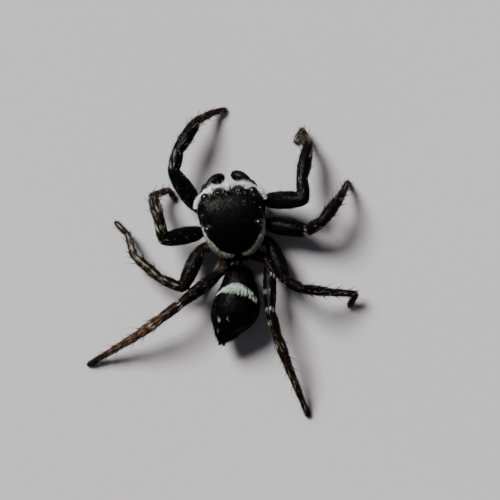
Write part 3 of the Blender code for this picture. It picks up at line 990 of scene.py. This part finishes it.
def survey_leg(survey, here, points, normals, part):
    pair = int(part.split("_")[1])
    path = np.array([list(joint) for joint in leg_joints(part)])
    span, share, way, around, run, length = along_path(points, path)
    survey.lie[here] = way
    survey.segment[here] = span
    survey.share[here] = share
    survey.unwrap[here] = tube_unwrap(0.97 * run / length, around)
    survey.grain[here] = np.stack((around * 0.2, run, around), 1)
    knots = np.repeat(np.arange(len(SEGMENTS)), 2) + np.tile((0.15, 0.85), len(SEGMENTS))
    # painted shade: the right legs lose part of their brown and pale hairs, so they look darkened by shadow
    kept_in_shade = LEG_KEPT_IN_SHADE.get(part, 1.0)
    tone = kept_in_shade * np.interp(span + share, knots, np.repeat(LEG_TONES[pair], 2))
    pale = kept_in_shade * np.interp(span + share, knots, np.repeat(LEG_PALENESS[pair], 2))
    if pair == 3:
        stripes = 0.5 + 0.5 * np.cos(around * 4)
        distal = smooth_step(span + share, 2.9, 3.2)
        pale = pale * (1 - distal + distal * stripes * 1.9)
        tone = tone * (1 - distal * 0.6 * (1 - stripes))
    if pair == 4:
        rings = 0.5 + 0.5 * np.cos((span + share) * math.tau * 2)
        distal = smooth_step(span + share, 3.9, 4.2)
        tone = tone * (1 - 0.45 * distal * rings)
    for name, segment, middle, half, heading, paleness in LEG_MARKS:
        if name != part:
            continue
        mark = 1 - smooth_step(np.abs(share - middle), half * 0.7, half * 1.3)
        mark = mark * (span == SEGMENTS.index(segment)) * paleness
        if heading is not None:
            turn = math.radians(heading)
            faced = np.array((side_sign(part) * math.sin(turn), -math.cos(turn), 0.35))
            mark = mark * smooth_step(normals @ faced, 0.1, 0.6)
        else:
            mark = mark * smooth_step(normals[:, 2], -0.4, 0.2)
        pale = np.maximum(pale, mark * (0.45 + 0.9 * ragged(points, 0.05)))
    streaks = np.stack((around * 0.22, run * 0.32, run * 0.05), 1)
    pale = np.clip(2.6 * pale * smooth_step(ragged(streaks, 0.045), 0.42, 0.66), 0, 1)
    survey.tone[here] = tone * (0.45 + 1.1 * smooth_step(ragged(streaks + 5, 0.05), 0.35, 0.65))
    survey.pale[here] = pale
    survey.hue[here] = np.where(pale > 0.9, 2.4, 3.0)


def surveyed(parts, points, normals):
    """The survey of places in millimetres whose part numbers and normals are given."""
    survey = Survey(len(points))
    for number, part in enumerate(PARTS):
        here = np.nonzero(parts == number)[0]
        if not len(here):
            continue
        found = (survey, here, points[here])
        if part == "carapace":
            survey_carapace(*found)
        elif part == "abdomen":
            survey_abdomen(*found)
        elif part.startswith("palp"):
            survey_palp(*found, normals[here], part)
        elif part.startswith("leg"):
            survey_leg(*found, normals[here], part)
        else:
            survey_front_piece(*found, part)
    survey.lie = unit(survey.lie - normals * (survey.lie * normals).sum(1, keepdims=True))
    return survey


# Materials


class Wire:
    """An output of a node. Sums of wires and numbers add Math nodes."""

    def __init__(self, finish, socket):
        self.finish = finish
        self.socket = socket

    def math(self, operation, first, second):
        return self.finish.node("ShaderNodeMath", {"operation": operation}, {0: first, 1: second})

    def __add__(self, other):
        return self.math("ADD", self, other)

    def __sub__(self, other):
        return self.math("SUBTRACT", self, other)

    def __rsub__(self, other):
        return self.math("SUBTRACT", other, self)

    def __mul__(self, other):
        return self.math("MULTIPLY", self, other)

    __radd__ = __add__
    __rmul__ = __mul__


class Finish:
    """A material whose nodes are added one by one."""

    def __init__(self, name):
        self.material = bpy.data.materials.new(name)
        self.material.use_nodes = True
        self.tree = self.material.node_tree
        self.shader = self.tree.nodes["Principled BSDF"]

    def plug(self, socket, value):
        if isinstance(value, Wire):
            self.tree.links.new(value.socket, socket)
        elif hasattr(value, "__len__") and len(value) == 3 and len(socket.default_value) == 4:
            socket.default_value = (*value, 1)
        else:
            socket.default_value = value

    def node(self, kind, settings=None, sockets=None, output=0):
        """Adds a node: its settings first, then the values or wires of its sockets."""
        made = self.tree.nodes.new(kind)
        for name, value in (settings or {}).items():
            if name == "stops":
                for element, (place, level) in zip(made.color_ramp.elements, value):
                    element.position = place
                    element.color = (level, level, level, 1)
            else:
                setattr(made, name, value)
        for name, value in (sockets or {}).items():
            self.plug(made.inputs[name], value)
        return Wire(self, made.outputs[output])

    def surface(self, **sockets):
        for name, value in sockets.items():
            self.plug(self.shader.inputs[name.replace("_", " ")], value)
        return self.material

    def attribute(self, name, output="Fac"):
        return self.node("ShaderNodeAttribute", {"attribute_name": name}, output=output)

    def mix(self, factor, first, second):
        return self.node("ShaderNodeMix", {"data_type": "RGBA"}, {0: factor, 6: first, 7: second}, 2)

    def places(self):
        return self.node("ShaderNodeTexCoord", output="Object")

    def noise(self, vector, scale, detail=3.0, roughness=0.55):
        sockets = {"Vector": vector, "Scale": scale, "Detail": detail, "Roughness": roughness}
        return self.node("ShaderNodeTexNoise", {"noise_dimensions": "3D"}, sockets, "Fac")

    def ramp(self, factor, *stops):
        return self.node("ShaderNodeValToRGB", {"stops": stops}, {"Fac": factor})

    def bump(self, height, strength, distance):
        sockets = {"Height": height, "Strength": strength, "Distance": distance}
        return self.node("ShaderNodeBump", None, sockets, "Normal")


def blended(finish, level, first, *steps):
    """Each of the colours takes over from the one before between two levels."""
    for start, end, colour in steps:
        first = finish.mix(finish.ramp(level, (start, 0.0), (end, 1.0)), first, colour)
    return first


def marked_colour(finish, colours, tone, hue):
    """Skin and hair colour by how brown a place is, and the pale colour of its mark."""
    dark = blended(finish, tone, colours.black, (0.0, 0.45, colours.brown), (0.4, 1.0, colours.amber))
    steps = (0.0, 0.25, colours.mint), (0.25, 0.5, colours.cream), (0.5, 0.75, colours.ash)
    return dark, blended(finish, hue * 0.25, colours.white, *steps)


def skin_finish(colours):
    finish = Finish("spider_skin")
    tone, pale, hue = (finish.attribute(tag) for tag in MARKS)
    grain = finish.attribute("grain", "Vector")
    stretched = finish.node("ShaderNodeVectorMath", {"operation": "MULTIPLY"}, {0: grain, 1: (70, 9, 1)})
    streaks = finish.noise(stretched, 1.0, 2.0)
    clouds = finish.noise(finish.places(), 2600.0)
    dark, light = marked_colour(finish, colours, tone * (0.6 + 0.8 * clouds), hue)
    under = finish.ramp(pale * (0.5 + streaks), (0.3, 0.0), (0.9, 0.5))
    return finish.surface(
        Base_Color=finish.mix(under, dark, light),
        Roughness=0.26 + 0.3 * streaks + 0.2 * pale,
        Normal=finish.bump(streaks, 0.6, 0.000008),
        Specular_IOR_Level=0.10,
    )


def coat_finish(name, colours, roughness):
    finish = Finish(name)
    tone, pale, hue, chance, along = (finish.attribute(tag) for tag in (*MARKS, "chance", "along"))
    dark, light = marked_colour(finish, colours, tone + 0.25 * along * tone, hue)
    colour = finish.mix(pale, dark, light)
    shaded = (0.62 + 0.38 * chance) * (0.75 + 0.25 * along) * (1.0 - pale) + pale * (0.86 + 0.14 * chance)
    return finish.surface(
        Base_Color=finish.mix(shaded, (0.0, 0.0, 0.0), colour),
        Roughness=roughness + 0.15 * chance,
        Specular_IOR_Level=0.03,
    )


def lens_finish(colours):
    finish = Finish("eye_lens")
    deep = finish.noise(finish.places(), 900.0, 2.0)
    return finish.surface(
        Base_Color=finish.mix(0.5 * deep, colours.lens, (0.012, 0.011, 0.016)),
        Roughness=0.03 + 0.02 * deep,
        IOR=1.5,
    )


def horn_finish(colours):
    finish = Finish("dark_horn")
    rings = finish.noise(finish.places(), 9000.0, 2.0)
    return finish.surface(
        Base_Color=finish.mix(rings, colours.claw, colours.black),
        Roughness=0.2 + 0.2 * rings,
        Normal=finish.bump(rings, 0.3, 0.000003),
    )


def floor_finish(colours):
    finish = Finish("pale_floor")
    clouds = finish.noise(finish.places(), 60.0, 4.0)
    shade = tuple(0.97 * value for value in colours.floor)
    return finish.surface(Base_Color=finish.mix(clouds, colours.floor, shade), Roughness=0.9)


# The coat


class Hairs:
    """Hairs on the skin: where they root, where they point, and what they carry."""

    def __init__(self, roots, normals, survey, parts):
        self.roots, self.normals, self.survey, self.parts = roots, normals, survey, parts

    def __len__(self):
        return len(self.roots)

    def chosen(self, keep):
        picked = Survey(0)
        for name, values in vars(self.survey).items():
            setattr(picked, name, values[keep])
        return Hairs(self.roots[keep], self.normals[keep], picked, self.parts[keep])


class Pelt:
    """The finished skin in millimetres, ready for hairs to be rooted on."""

    def __init__(self, mesh, coat):
        self.coat = coat
        self.width = coat.hair_width / MM
        self.chances = np.random.default_rng(coat.seed)
        mesh.calc_loop_triangles()
        count = len(mesh.vertices)
        flat = np.zeros(count * 3, np.float32)
        mesh.vertices.foreach_get("co", flat)
        self.points = flat.reshape(-1, 3).astype(float) / MM
        mesh.vertices.foreach_get("normal", flat)
        self.normals = flat.reshape(-1, 3).astype(float)
        corners = np.zeros(len(mesh.loop_triangles) * 3, np.int32)
        mesh.loop_triangles.foreach_get("vertices", corners)
        self.triangles = corners.reshape(-1, 3)
        self.parts = np.zeros(count, np.int32)
        mesh.attributes["part"].data.foreach_get("value", self.parts)
        self.survey = surveyed(self.parts, self.points, self.normals)
        a, b, c = (self.points[self.triangles[:, k]] for k in range(3))
        self.areas = np.linalg.norm(np.cross(b - a, c - a), axis=1) / 2

    def rooted(self, density):
        """Hairs rooted at random where density, in hairs per square millimetre of each vertex, says."""
        weights = self.areas * density[self.triangles].mean(1)
        total = np.cumsum(weights)
        picks = np.searchsorted(total, self.chances.random(round(total[-1])) * total[-1])
        picks = np.minimum(picks, len(self.triangles) - 1)
        corners = self.triangles[picks]
        u, v = self.chances.random((2, len(picks)))
        over = u + v > 1
        u[over], v[over] = 1 - u[over], 1 - v[over]
        shares = np.stack((1 - u - v, u, v), 1)[:, :, None]
        roots = (self.points[corners] * shares).sum(1)
        normals = unit((self.normals[corners] * shares).sum(1))
        parts = self.parts[corners[:, 0]]
        return Hairs(roots, normals, surveyed(parts, roots, normals), parts)

    def layer(self, kind, density, aims=None):
        """A layer of one kind of hair, rooted by density."""
        length, thickness, *growth = HAIRS[kind]
        width = self.width * thickness
        return layer_of(self.chances, self.rooted(density), length, width, *growth, aims)

    def of(self, *names):
        numbers = [number for number, part in enumerate(PARTS) if part in names]
        return np.isin(self.parts, numbers)


def grown(chances, hairs, aims, lengths, widths, curl, pale, tone, rings):
    """Arrays of thin three-sided hairs: corners, triangles, unwrap and what each corner carries.

    curl bends the tip back towards the skin, as a share of the length.
    """
    count = len(hairs)
    aims = unit(aims)
    across = unit(np.cross(hairs.normals, aims) + 1e-6)
    top = np.cross(aims, across)
    steps = np.linspace(0, 1, rings + 1)
    profile = (1 - steps**2.2) * 0.9 + 0.1
    corners, along, spots = [], [], []
    for step, swell in zip(steps, profile):
        centre = hairs.roots - hairs.normals * ROOT_DEPTH
        centre = centre + aims * (lengths * step)[:, None]
        centre = centre - hairs.normals * (lengths * curl * step**2)[:, None]
        if step == 1:
            offsets = ((0.0, 0.0, 0.5),)
        else:
            offsets = ((-0.5, -0.2, 0.0), (0.5, -0.2, 1.0), (0.0, 0.4, 0.5))
        for x, z, u in offsets:
            half = (widths * swell)[:, None]
            corners.append(centre + across * half * x + top * half * z)
            along.append(np.full(count, step))
            spots.append(hairs.survey.unwrap + (HAIR_PATCH * u, HAIR_PATCH * step))
    each = len(corners)
    faces = [(0, 2, 1)]
    for ring in range(rings - 1):
        base = ring * 3
        for a, b in ((0, 1), (1, 2), (2, 0)):
            faces += [(base + a, base + b, base + 3 + b), (base + a, base + 3 + b, base + 3 + a)]
    base, tip = (rings - 1) * 3, rings * 3
    faces += [(base + a, base + b, tip) for a, b in ((0, 1), (1, 2), (2, 0))]
    corners = np.stack(corners, 1).reshape(-1, 3)
    corners[:, 2] = np.maximum(corners[:, 2], HAIR_LOWEST)
    triangles = (np.arange(count)[:, None, None] * each + np.array(faces)[None]).reshape(-1, 3)
    carried = {
        "along": np.stack(along, 1).ravel(),
        "pale": np.repeat(pale, each),
        "tone": np.repeat(tone, each),
        "hue": np.repeat(hairs.survey.hue, each),
        "chance": np.repeat(chances.random(count), each),
    }
    return corners, triangles, np.stack(spots, 1).reshape(-1, 2), carried


def coat_mesh(name, layers):
    """One mesh of several layers of hairs, with the unwrap that the coat's colours are kept on."""
    starts = np.cumsum([0] + [len(corners) for corners, _, _, _ in layers])
    corners = np.concatenate([layer[0] for layer in layers])
    triangles = np.concatenate([layer[1] + start for layer, start in zip(layers, starts)])
    spots = np.concatenate([layer[2] for layer in layers])
    mesh = bpy.data.meshes.new(name)
    mesh.vertices.add(len(corners))
    mesh.vertices.foreach_set("co", corners.astype(np.float32).ravel())
    mesh.loops.add(len(triangles) * 3)
    mesh.loops.foreach_set("vertex_index", triangles.astype(np.int32).ravel())
    mesh.polygons.add(len(triangles))
    mesh.polygons.foreach_set("loop_start", np.arange(0, len(triangles) * 3, 3, dtype=np.int32))
    mesh.update(calc_edges=True)
    unwrap = mesh.uv_layers.new(name="OFBake")
    unwrap.uv.foreach_set("vector", spots[triangles.ravel()].astype(np.float32).ravel())
    for tag in layers[0][3]:
        carry(mesh, tag, np.concatenate([layer[3][tag] for layer in layers]))
    mesh.validate()
    return mesh


def eye_clearance(points):
    """Distance from each point to the nearest lens, and the way out from it."""
    nearest = np.full(len(points), np.inf)
    out = np.zeros_like(points)
    for _, centre, radius, _ in every_eye():
        away = points - np.array(centre)
        distance = np.linalg.norm(away, axis=1) - radius
        closer = distance < nearest
        nearest[closer] = distance[closer]
        out[closer] = unit(away[closer])
    return nearest, out


def leaned(chances, hairs, lift, spread):
    """Aims that follow the lie of the coat, lifted off the skin and spread a little to the sides."""
    count = len(hairs)
    swing = np.cross(hairs.normals, hairs.survey.lie) * (chances.normal(0, spread, count))[:, None]
    flat = unit(hairs.survey.lie + swing)
    raised = np.clip(lift * chances.normal(1, 0.25, count), 0.02, 1.5)[:, None]
    return flat * np.cos(raised) + hairs.normals * np.sin(raised)


def layer_of(
    chances, hairs, length, width, lift, spread, curl, rings, paleness=None, aims=None, uneven=UNEVEN
):
    """A layer of hairs of about the same length; each is pale by the chance its mark gives.

    aims, a function of the hairs, takes the place of lift and spread.
    """
    clearance, out = eye_clearance(hairs.roots)
    clear = clearance > LENS_CLEARANCE
    hairs = hairs.chosen(clear)
    if aims is None:
        near = 1 - smooth_step(clearance[clear], 0.05, 0.2)
        outward = out[clear]
        outward = unit(outward - hairs.normals * (outward * hairs.normals).sum(1, keepdims=True))
        hairs.survey.lie = unit(hairs.survey.lie * (1 - near)[:, None] + outward * near[:, None] * 1.2)
        aims = leaned(chances, hairs, lift, spread)
    else:
        aims = aims(hairs)
    count = len(hairs)
    usual = length(hairs) if callable(length) else length
    lengths = usual * np.clip(chances.normal(1, uneven, count), 0.5, 1.6)
    widths = width * np.clip(chances.normal(1, 0.15, count), 0.6, 1.5)
    chance = hairs.survey.pale if paleness is None else np.full(count, paleness)
    pale = (chances.random(count) < chance).astype(float)
    tone = np.clip(hairs.survey.tone * chances.normal(1, 0.3, count), 0, 1)
    return grown(chances, hairs, aims, lengths, widths, curl, pale, tone, rings)


def carapace_layers(pelt):
    on = pelt.of("carapace")
    local = in_place_of(FRONT, pelt.points)
    crown = smooth_step(pelt.normals[:, 2], 0.55, 0.85) * smooth_step(-local[:, 1], 0.7, 1.1)
    dark = on * (pelt.coat.body_hairs * (1 - crown) + pelt.coat.crown_hairs * crown)
    marked = on * np.where(pelt.survey.hue < 0.5, 0, pelt.survey.pale) * pelt.coat.pale_hairs
    below = pelt.of("sternum", "pedicel", "chelicera_left", "chelicera_right")
    brow = on * smooth_step(-local[:, 1], 2.46, 2.54) * smooth_step(local[:, 2], 1.70, 1.78)

    def forward(hairs):
        ahead = np.array(FRONT.to_3x3() @ Vector((0, -1, -0.20)))
        return unit(ahead + hairs.normals * 0.15 + pelt.chances.normal(0, 0.24, (len(hairs), 3)))

    return [
        pelt.layer("brow", brow * BROW_HAIRS, forward),
        pelt.layer("carapace", dark * (1 - pelt.survey.pale)),
        pelt.layer("rear_band", marked),
        pelt.layer("underside", below * UNDERSIDE_HAIRS),
        pelt.layer("carapace_bristle", on * CARAPACE_BRISTLES),
    ]


def face_layers(pelt):
    """The moustache: long white hairs that stand out from the cheeks and under the front eyes."""
    on = pelt.of("carapace") * (pelt.survey.hue < 0.5) * pelt.survey.pale

    def to_side(points, start, end):
        return smooth_step(np.abs(in_place_of(FRONT, points)[:, 0]), start, end)

    def fanned(hairs):
        local = in_place_of(FRONT, hairs.roots)
        rise = 0.10 * (1 - to_side(hairs.roots, 0.6, 1.0))
        upward = rise + pelt.chances.normal(0, 0.14, len(hairs))
        out = laid(FRONT, unit(np.stack((local[:, 0] * 0.85, local[:, 1] + 1.75, upward), 1)))
        return unit(out + pelt.chances.normal(0, 0.12, (len(hairs), 3)))

    def longest_in_the_middle(hairs):
        return 0.19 + 0.24 * (1 - to_side(hairs.roots, 0.45, 1.0))

    middle = 1 - to_side(pelt.points, 0.70, 0.95)
    hairs = pelt.rooted(on * pelt.coat.pale_hairs * (1.3 + 2.6 * middle))
    hairs.survey.pale = 0.8 + 0.2 * to_side(hairs.roots, 0.45, 0.9)
    return [
        layer_of(
            pelt.chances,
            hairs,
            longest_in_the_middle,
            pelt.width * MOUSTACHE_THICKNESS,
            lift=None,
            spread=None,
            curl=0.0,
            rings=3,
            aims=fanned,
            uneven=MOUSTACHE_UNEVEN,
        )
    ]


def abdomen_layers(pelt):
    on, pale = pelt.of("abdomen"), pelt.survey.pale
    behind = in_place_of(REAR, pelt.points)[:, 1]
    ends = np.maximum(smooth_step(behind, 2.3, 2.6), 1 - smooth_step(behind, 0.0, 0.2))
    return [
        pelt.layer("abdomen", on * pelt.coat.body_hairs * (1 - pale)),
        pelt.layer("crescent", on * pelt.coat.pale_hairs * pale),
        pelt.layer("abdomen_bristle", on * (ABDOMEN_BRISTLES + END_BRISTLES * ends)),
        pelt.layer("end_tuft", on * ends * END_TUFTS),
    ]


def palp_layers(pelt, part):
    on, pale = pelt.of(part), pelt.survey.pale
    return [
        pelt.layer("palp", on * PALP_HAIRS * (1 - pale)),
        pelt.layer("palp_white", on * pelt.coat.pale_hairs * pale),
    ]


def leg_layers(pelt, part):
    on, pale, coat = pelt.of(part), pelt.survey.pale, pelt.coat
    place = pelt.survey.segment + pelt.survey.share  # in segments from the coxa's start
    distal = smooth_step(place, 3.6, 4.2)
    tip = smooth_step(place, 6.72, 6.85)
    short = on * (coat.leg_hairs * (1 - pale) + coat.pale_hairs * 0.8 * pale * (pale > 0.5) + 500 * pale)
    return [
        pelt.layer("leg", short),
        pelt.layer("leg_bristle", on * LEG_BRISTLES * (0.6 + 0.7 * distal)),
        pelt.layer("leg_wisp", on * LEG_WISPS * distal),
        pelt.layer("foot_pad", on * tip * FOOT_PAD),
    ]


# Operators


class SPIDER_OT_skin(bpy.types.Operator):
    """Joins the body's forms in one skin and marks it"""

    bl_idname = "spider.skin"
    bl_label = "Skin"

    def execute(self, context):
        form = context.scene.spider_form
        bms, places, numbers = [], [], []
        for part, bm in flesh_forms(form.coat_depth / MM):
            check_form(part, bm)
            bms.append(bm)
            places += [vert.co.copy() for vert in bm.verts]
            numbers += [PARTS.index(part)] * len(bm.verts)
        tree = KDTree(len(places))
        for index, place in enumerate(places):
            tree.insert(place, index)
        tree.balance()
        mesh = remeshed(mesh_of("forms", bms), form.skin_grain / MM)
        smoothed(mesh, form.smoothing)
        mesh.name = "skin"
        parts = np.array([numbers[tree.find(vert.co)[1]] for vert in mesh.vertices], np.int32)
        points = np.array([vert.co for vert in mesh.vertices])
        normals = np.array([vert.normal for vert in mesh.vertices])
        survey = surveyed(parts, points, normals)
        carry(mesh, "part", parts, "INT")
        for tag in MARKS:
            carry(mesh, tag, getattr(survey, tag))
        carry(mesh, "grain", survey.grain, "FLOAT_VECTOR")
        mesh.materials.clear()
        finish_piece("skin", mesh, skin_finish(context.scene.spider_colours), "skin", PARTS)
        return {"FINISHED"}


class SPIDER_OT_eyes(bpy.types.Operator):
    """Sets a smooth lens in each of the eight rims"""

    bl_idname = "spider.eyes"
    bl_label = "Eyes"

    def execute(self, context):
        finish = lens_finish(context.scene.spider_colours)
        for name, centre, radius, _ in every_eye():
            mesh = mesh_of("lens", [ball(centre, radius, 56)])
            finish_piece(f"lens_{name}", mesh, finish, "lens", (f"eye_{name}",))
        return {"FINISHED"}


class SPIDER_OT_spinnerets(bpy.types.Operator):
    """Makes the spinnerets at the abdomen's tip"""

    bl_idname = "spider.spinnerets"
    bl_label = "Spinnerets"

    def execute(self, context):
        tip, _, back, belly = ABDOMEN[-1]
        start = Vector((abdomen_bow(tip), tip, (back + belly) / 2))
        forms = []
        stations = [(rear_point(start.x, start.y + reach, start.z), radius) for reach, radius in MOUND]
        forms.append(tube(stations, 28))
        for side in (1, -1):
            for up, reach in ((0.06, 0.25), (-0.06, 0.21)):
                finger = []
                for share, radius in FINGER:
                    left = side * (0.06 + 0.04 * share)
                    behind = 0.04 + (reach - 0.04) * share
                    centre = rear_point(start.x + left, start.y + behind, start.z + up * (1 + 0.4 * share))
                    finger.append((centre, radius))
                forms.append(tube(finger, 18))
        mesh = remeshed(mesh_of("spinnerets", forms), 0.012)
        smoothed(mesh, 2)
        points = np.array([vert.co for vert in mesh.vertices])
        for tag, value in zip(MARKS, (0.0, 0.0, 3.0)):
            carry(mesh, tag, np.full(len(points), value))
        carry(mesh, "grain", points, "FLOAT_VECTOR")
        finish = bpy.data.materials["spider_skin"]
        finish_piece("spinnerets", mesh, finish, "skin", ("spinnerets",))
        return {"FINISHED"}


def hook(start, way, turn_to, length, radius, sides=8, steps=7):
    """A curved, tapered hook: way is where it leaves, turn_to where its tip bends."""
    stations = []
    for k in range(steps):
        share = k / (steps - 1)
        centre = start + way * (length * share) + turn_to * (length * 0.45 * share**2)
        stations.append((centre, radius * (1 - 0.88 * share)))
    return tube(stations, sides)


def lifted(bms, lowest):
    """The same forms, with what would lie lower raised to the lowest height."""
    for bm in bms:
        for vert in bm.verts:
            vert.co.z = max(vert.co.z, lowest)
    return bms


def segment_frame(start, end):
    """The way along a segment, to its side and over it."""
    way = (end - start).normalized()
    side = way.cross(Vector((0, 0, 1))).normalized()
    return way, side, side.cross(way)


class SPIDER_OT_fangs(bpy.types.Operator):
    """Hangs a fang under each chelicera"""

    bl_idname = "spider.fangs"
    bl_label = "Fangs"

    def execute(self, context):
        turn = FRONT.to_3x3()
        fangs = []
        for side in (1, -1):
            left, ahead, up = FANG_ROOT
            start = front_point(side * left, ahead, up)
            way = (turn @ Vector((-side * 0.75, 0.15, -0.65))).normalized()
            bend = (turn @ Vector((-side * 0.3, 0.5, -0.1))).normalized()
            fangs.append(hook(start, way, bend, FANG_LENGTH, FANG_RADIUS, 16, 12))
        mesh = mesh_of("fangs", fangs)
        finish_piece("fangs", mesh, horn_finish(context.scene.spider_colours), "shell")
        return {"FINISHED"}


class SPIDER_OT_claws(bpy.types.Operator):
    """Gives each foot its two claws"""

    bl_idname = "spider.claws"
    bl_label = "Claws"

    def execute(self, context):
        claws = []
        for name in POSES:
            joints = leg_joints(name)
            way, side, _ = segment_frame(*joints[-2:])
            flat = Vector((way.x, way.y, 0)).normalized()
            for turn in (1, -1):
                start = joints[-1] + side * turn * 0.025 + Vector((0, 0, 0.01)) - way * 0.03
                aim = (flat + side * turn * 0.2).normalized()
                claws.append(hook(start, aim, Vector((0, 0, -0.9)), CLAW_LENGTH, CLAW_RADIUS))
        mesh = mesh_of("claws", lifted(claws, CLAW_LOWEST))
        finish_piece("claws", mesh, bpy.data.materials["dark_horn"], "leg")
        return {"FINISHED"}


class SPIDER_OT_spines(bpy.types.Operator):
    """Sets the long spines of the legs"""

    bl_idname = "spider.spines"
    bl_label = "Spines"

    def execute(self, context):
        width = context.scene.spider_form.spine_width / MM
        chances = np.random.default_rng(context.scene.spider_coat.seed)
        spines = []
        for name in POSES:
            joints = leg_joints(name)
            radii = RADII[int(name.split("_")[1])]
            for segment, places in SPINES.items():
                k = SEGMENTS.index(segment)
                way, side, over = segment_frame(*joints[k : k + 2])
                shares, swells = zip(*SWELLS[segment])
                for share, degrees, length in places:
                    share = min(share + chances.normal(0, 0.02), 0.98)
                    turn = math.radians(degrees + chances.normal(0, 10))
                    out = over * math.cos(turn) + side * math.sin(turn)
                    radius = radii[k] * float(np.interp(share, shares, swells))
                    start = joints[k].lerp(joints[k + 1], share) + out * radius * 0.85
                    aim = (way * 0.75 + out * 0.75).normalized()
                    length = length * chances.normal(1.05, 0.1)
                    spines.append(hook(start, aim, way * 0.5 - out * 0.1, length, width / 2, 6, 5))
        mesh = mesh_of("spines", lifted(spines, HAIR_LOWEST))
        finish_piece("spines", mesh, bpy.data.materials["dark_horn"], "leg")
        return {"FINISHED"}


class SPIDER_OT_coat(bpy.types.Operator):
    """Grows the coat, one piece for each part of the body"""

    bl_idname = "spider.coat"
    bl_label = "Coat"

    def execute(self, context):
        coat, colours = context.scene.spider_coat, context.scene.spider_colours
        pelt = Pelt(bpy.data.objects["skin"].data, coat)
        body_finish = coat_finish("body_hair", colours, 0.42)
        leg_finish = coat_finish("leg_hair", colours, 0.48)
        face_finish = coat_finish("face_hair", colours, 0.55)
        pieces = [
            ("coat_carapace", carapace_layers(pelt), body_finish, "shell"),
            ("coat_face", face_layers(pelt), face_finish, "shell"),
            ("coat_abdomen", abdomen_layers(pelt), body_finish, "skin"),
        ]
        for name in ("palp_left", "palp_right"):
            pieces.append((f"coat_{name}", palp_layers(pelt, name), face_finish, "leg"))
        for name in POSES:
            pieces.append((f"coat_{name}", leg_layers(pelt, name), leg_finish, "leg"))
        for name, layers, finish, slot in pieces:
            mesh = coat_mesh(name, layers)
            if len(mesh.polygons) >= PIECE_LIMIT:
                raise RuntimeError(f"{name} has {len(mesh.polygons)} triangles")
            finish_piece(name, mesh, finish, slot)
        return {"FINISHED"}


class SPIDER_OT_stage(bpy.types.Operator):
    """Sets the floor, the lights and the camera"""

    bl_idname = "spider.stage"
    bl_label = "Stage"

    def execute(self, context):
        scene, stage = context.scene, context.scene.spider_stage
        bm = bmesh.new()
        bmesh.ops.create_grid(bm, x_segments=2, y_segments=2, size=stage.floor_size / 2 / MM)
        mesh = mesh_of("floor", [bm])
        mesh.transform(Matrix.Scale(MM, 4))
        mesh.materials.append(floor_finish(scene.spider_colours))
        floor = linked("floor", mesh)

        light = bpy.data.lights.new("key", "SUN")
        light.energy = stage.sun_strength
        light.angle = stage.sun_spread
        light.color = SUN_COLOUR
        key = linked("key", light)
        heading, height = stage.sun_heading, stage.sun_height
        towards = Vector(
            (math.sin(heading) * math.cos(height), -math.cos(heading) * math.cos(height), math.sin(height))
        )
        key.rotation_mode = "QUATERNION"
        key.rotation_quaternion = towards.to_track_quat("Z", "Y")

        world = bpy.data.worlds.new("studio")
        world.use_nodes = True
        backdrop = world.node_tree.nodes["Background"]
        backdrop.inputs["Color"].default_value = FILL_COLOUR
        backdrop.inputs["Strength"].default_value = stage.fill_strength
        scene.world = world

        lens = bpy.data.cameras.new("camera")
        lens.sensor_width = 36
        lens.lens = lens.sensor_width * stage.camera_place[2] / stage.view_width
        lens.clip_start = 0.01
        lens.clip_end = 10
        camera = linked("camera", lens)
        camera.location = stage.camera_place
        camera.rotation_euler = (0, 0, math.pi)
        scene.camera = camera
        return {"FINISHED"}


STEPS = (
    SPIDER_OT_skin,
    SPIDER_OT_eyes,
    SPIDER_OT_spinnerets,
    SPIDER_OT_fangs,
    SPIDER_OT_claws,
    SPIDER_OT_spines,
    SPIDER_OT_coat,
    SPIDER_OT_stage,
)
SETTINGS = {
    "spider_form": SpiderForm,
    "spider_coat": SpiderCoat,
    "spider_colours": SpiderColours,
    "spider_stage": SpiderStage,
}


class SPIDER_PT_panel(bpy.types.Panel):
    """Lists the model's settings and steps in the sidebar"""

    bl_label = "Jumping Spider"
    bl_space_type = "VIEW_3D"
    bl_region_type = "UI"
    bl_category = "Spider"

    def draw(self, context):
        for name, group in SETTINGS.items():
            box = self.layout.box()
            for setting in group.__annotations__:
                box.prop(getattr(context.scene, name), setting)
        for step in STEPS:
            self.layout.operator(step.bl_idname)


def register():
    for made in (*SETTINGS.values(), *STEPS, SPIDER_PT_panel):
        bpy.utils.register_class(made)
    for name, group in SETTINGS.items():
        setattr(bpy.types.Scene, name, PointerProperty(type=group))


def unregister():
    for name in SETTINGS:
        delattr(bpy.types.Scene, name)
    for made in reversed((*SETTINGS.values(), *STEPS, SPIDER_PT_panel)):
        bpy.utils.unregister_class(made)


def main():
    register()
    for step in STEPS:
        group, action = step.bl_idname.split(".")
        getattr(getattr(bpy.ops, group), action)()


if __name__ == "__main__":
    main()
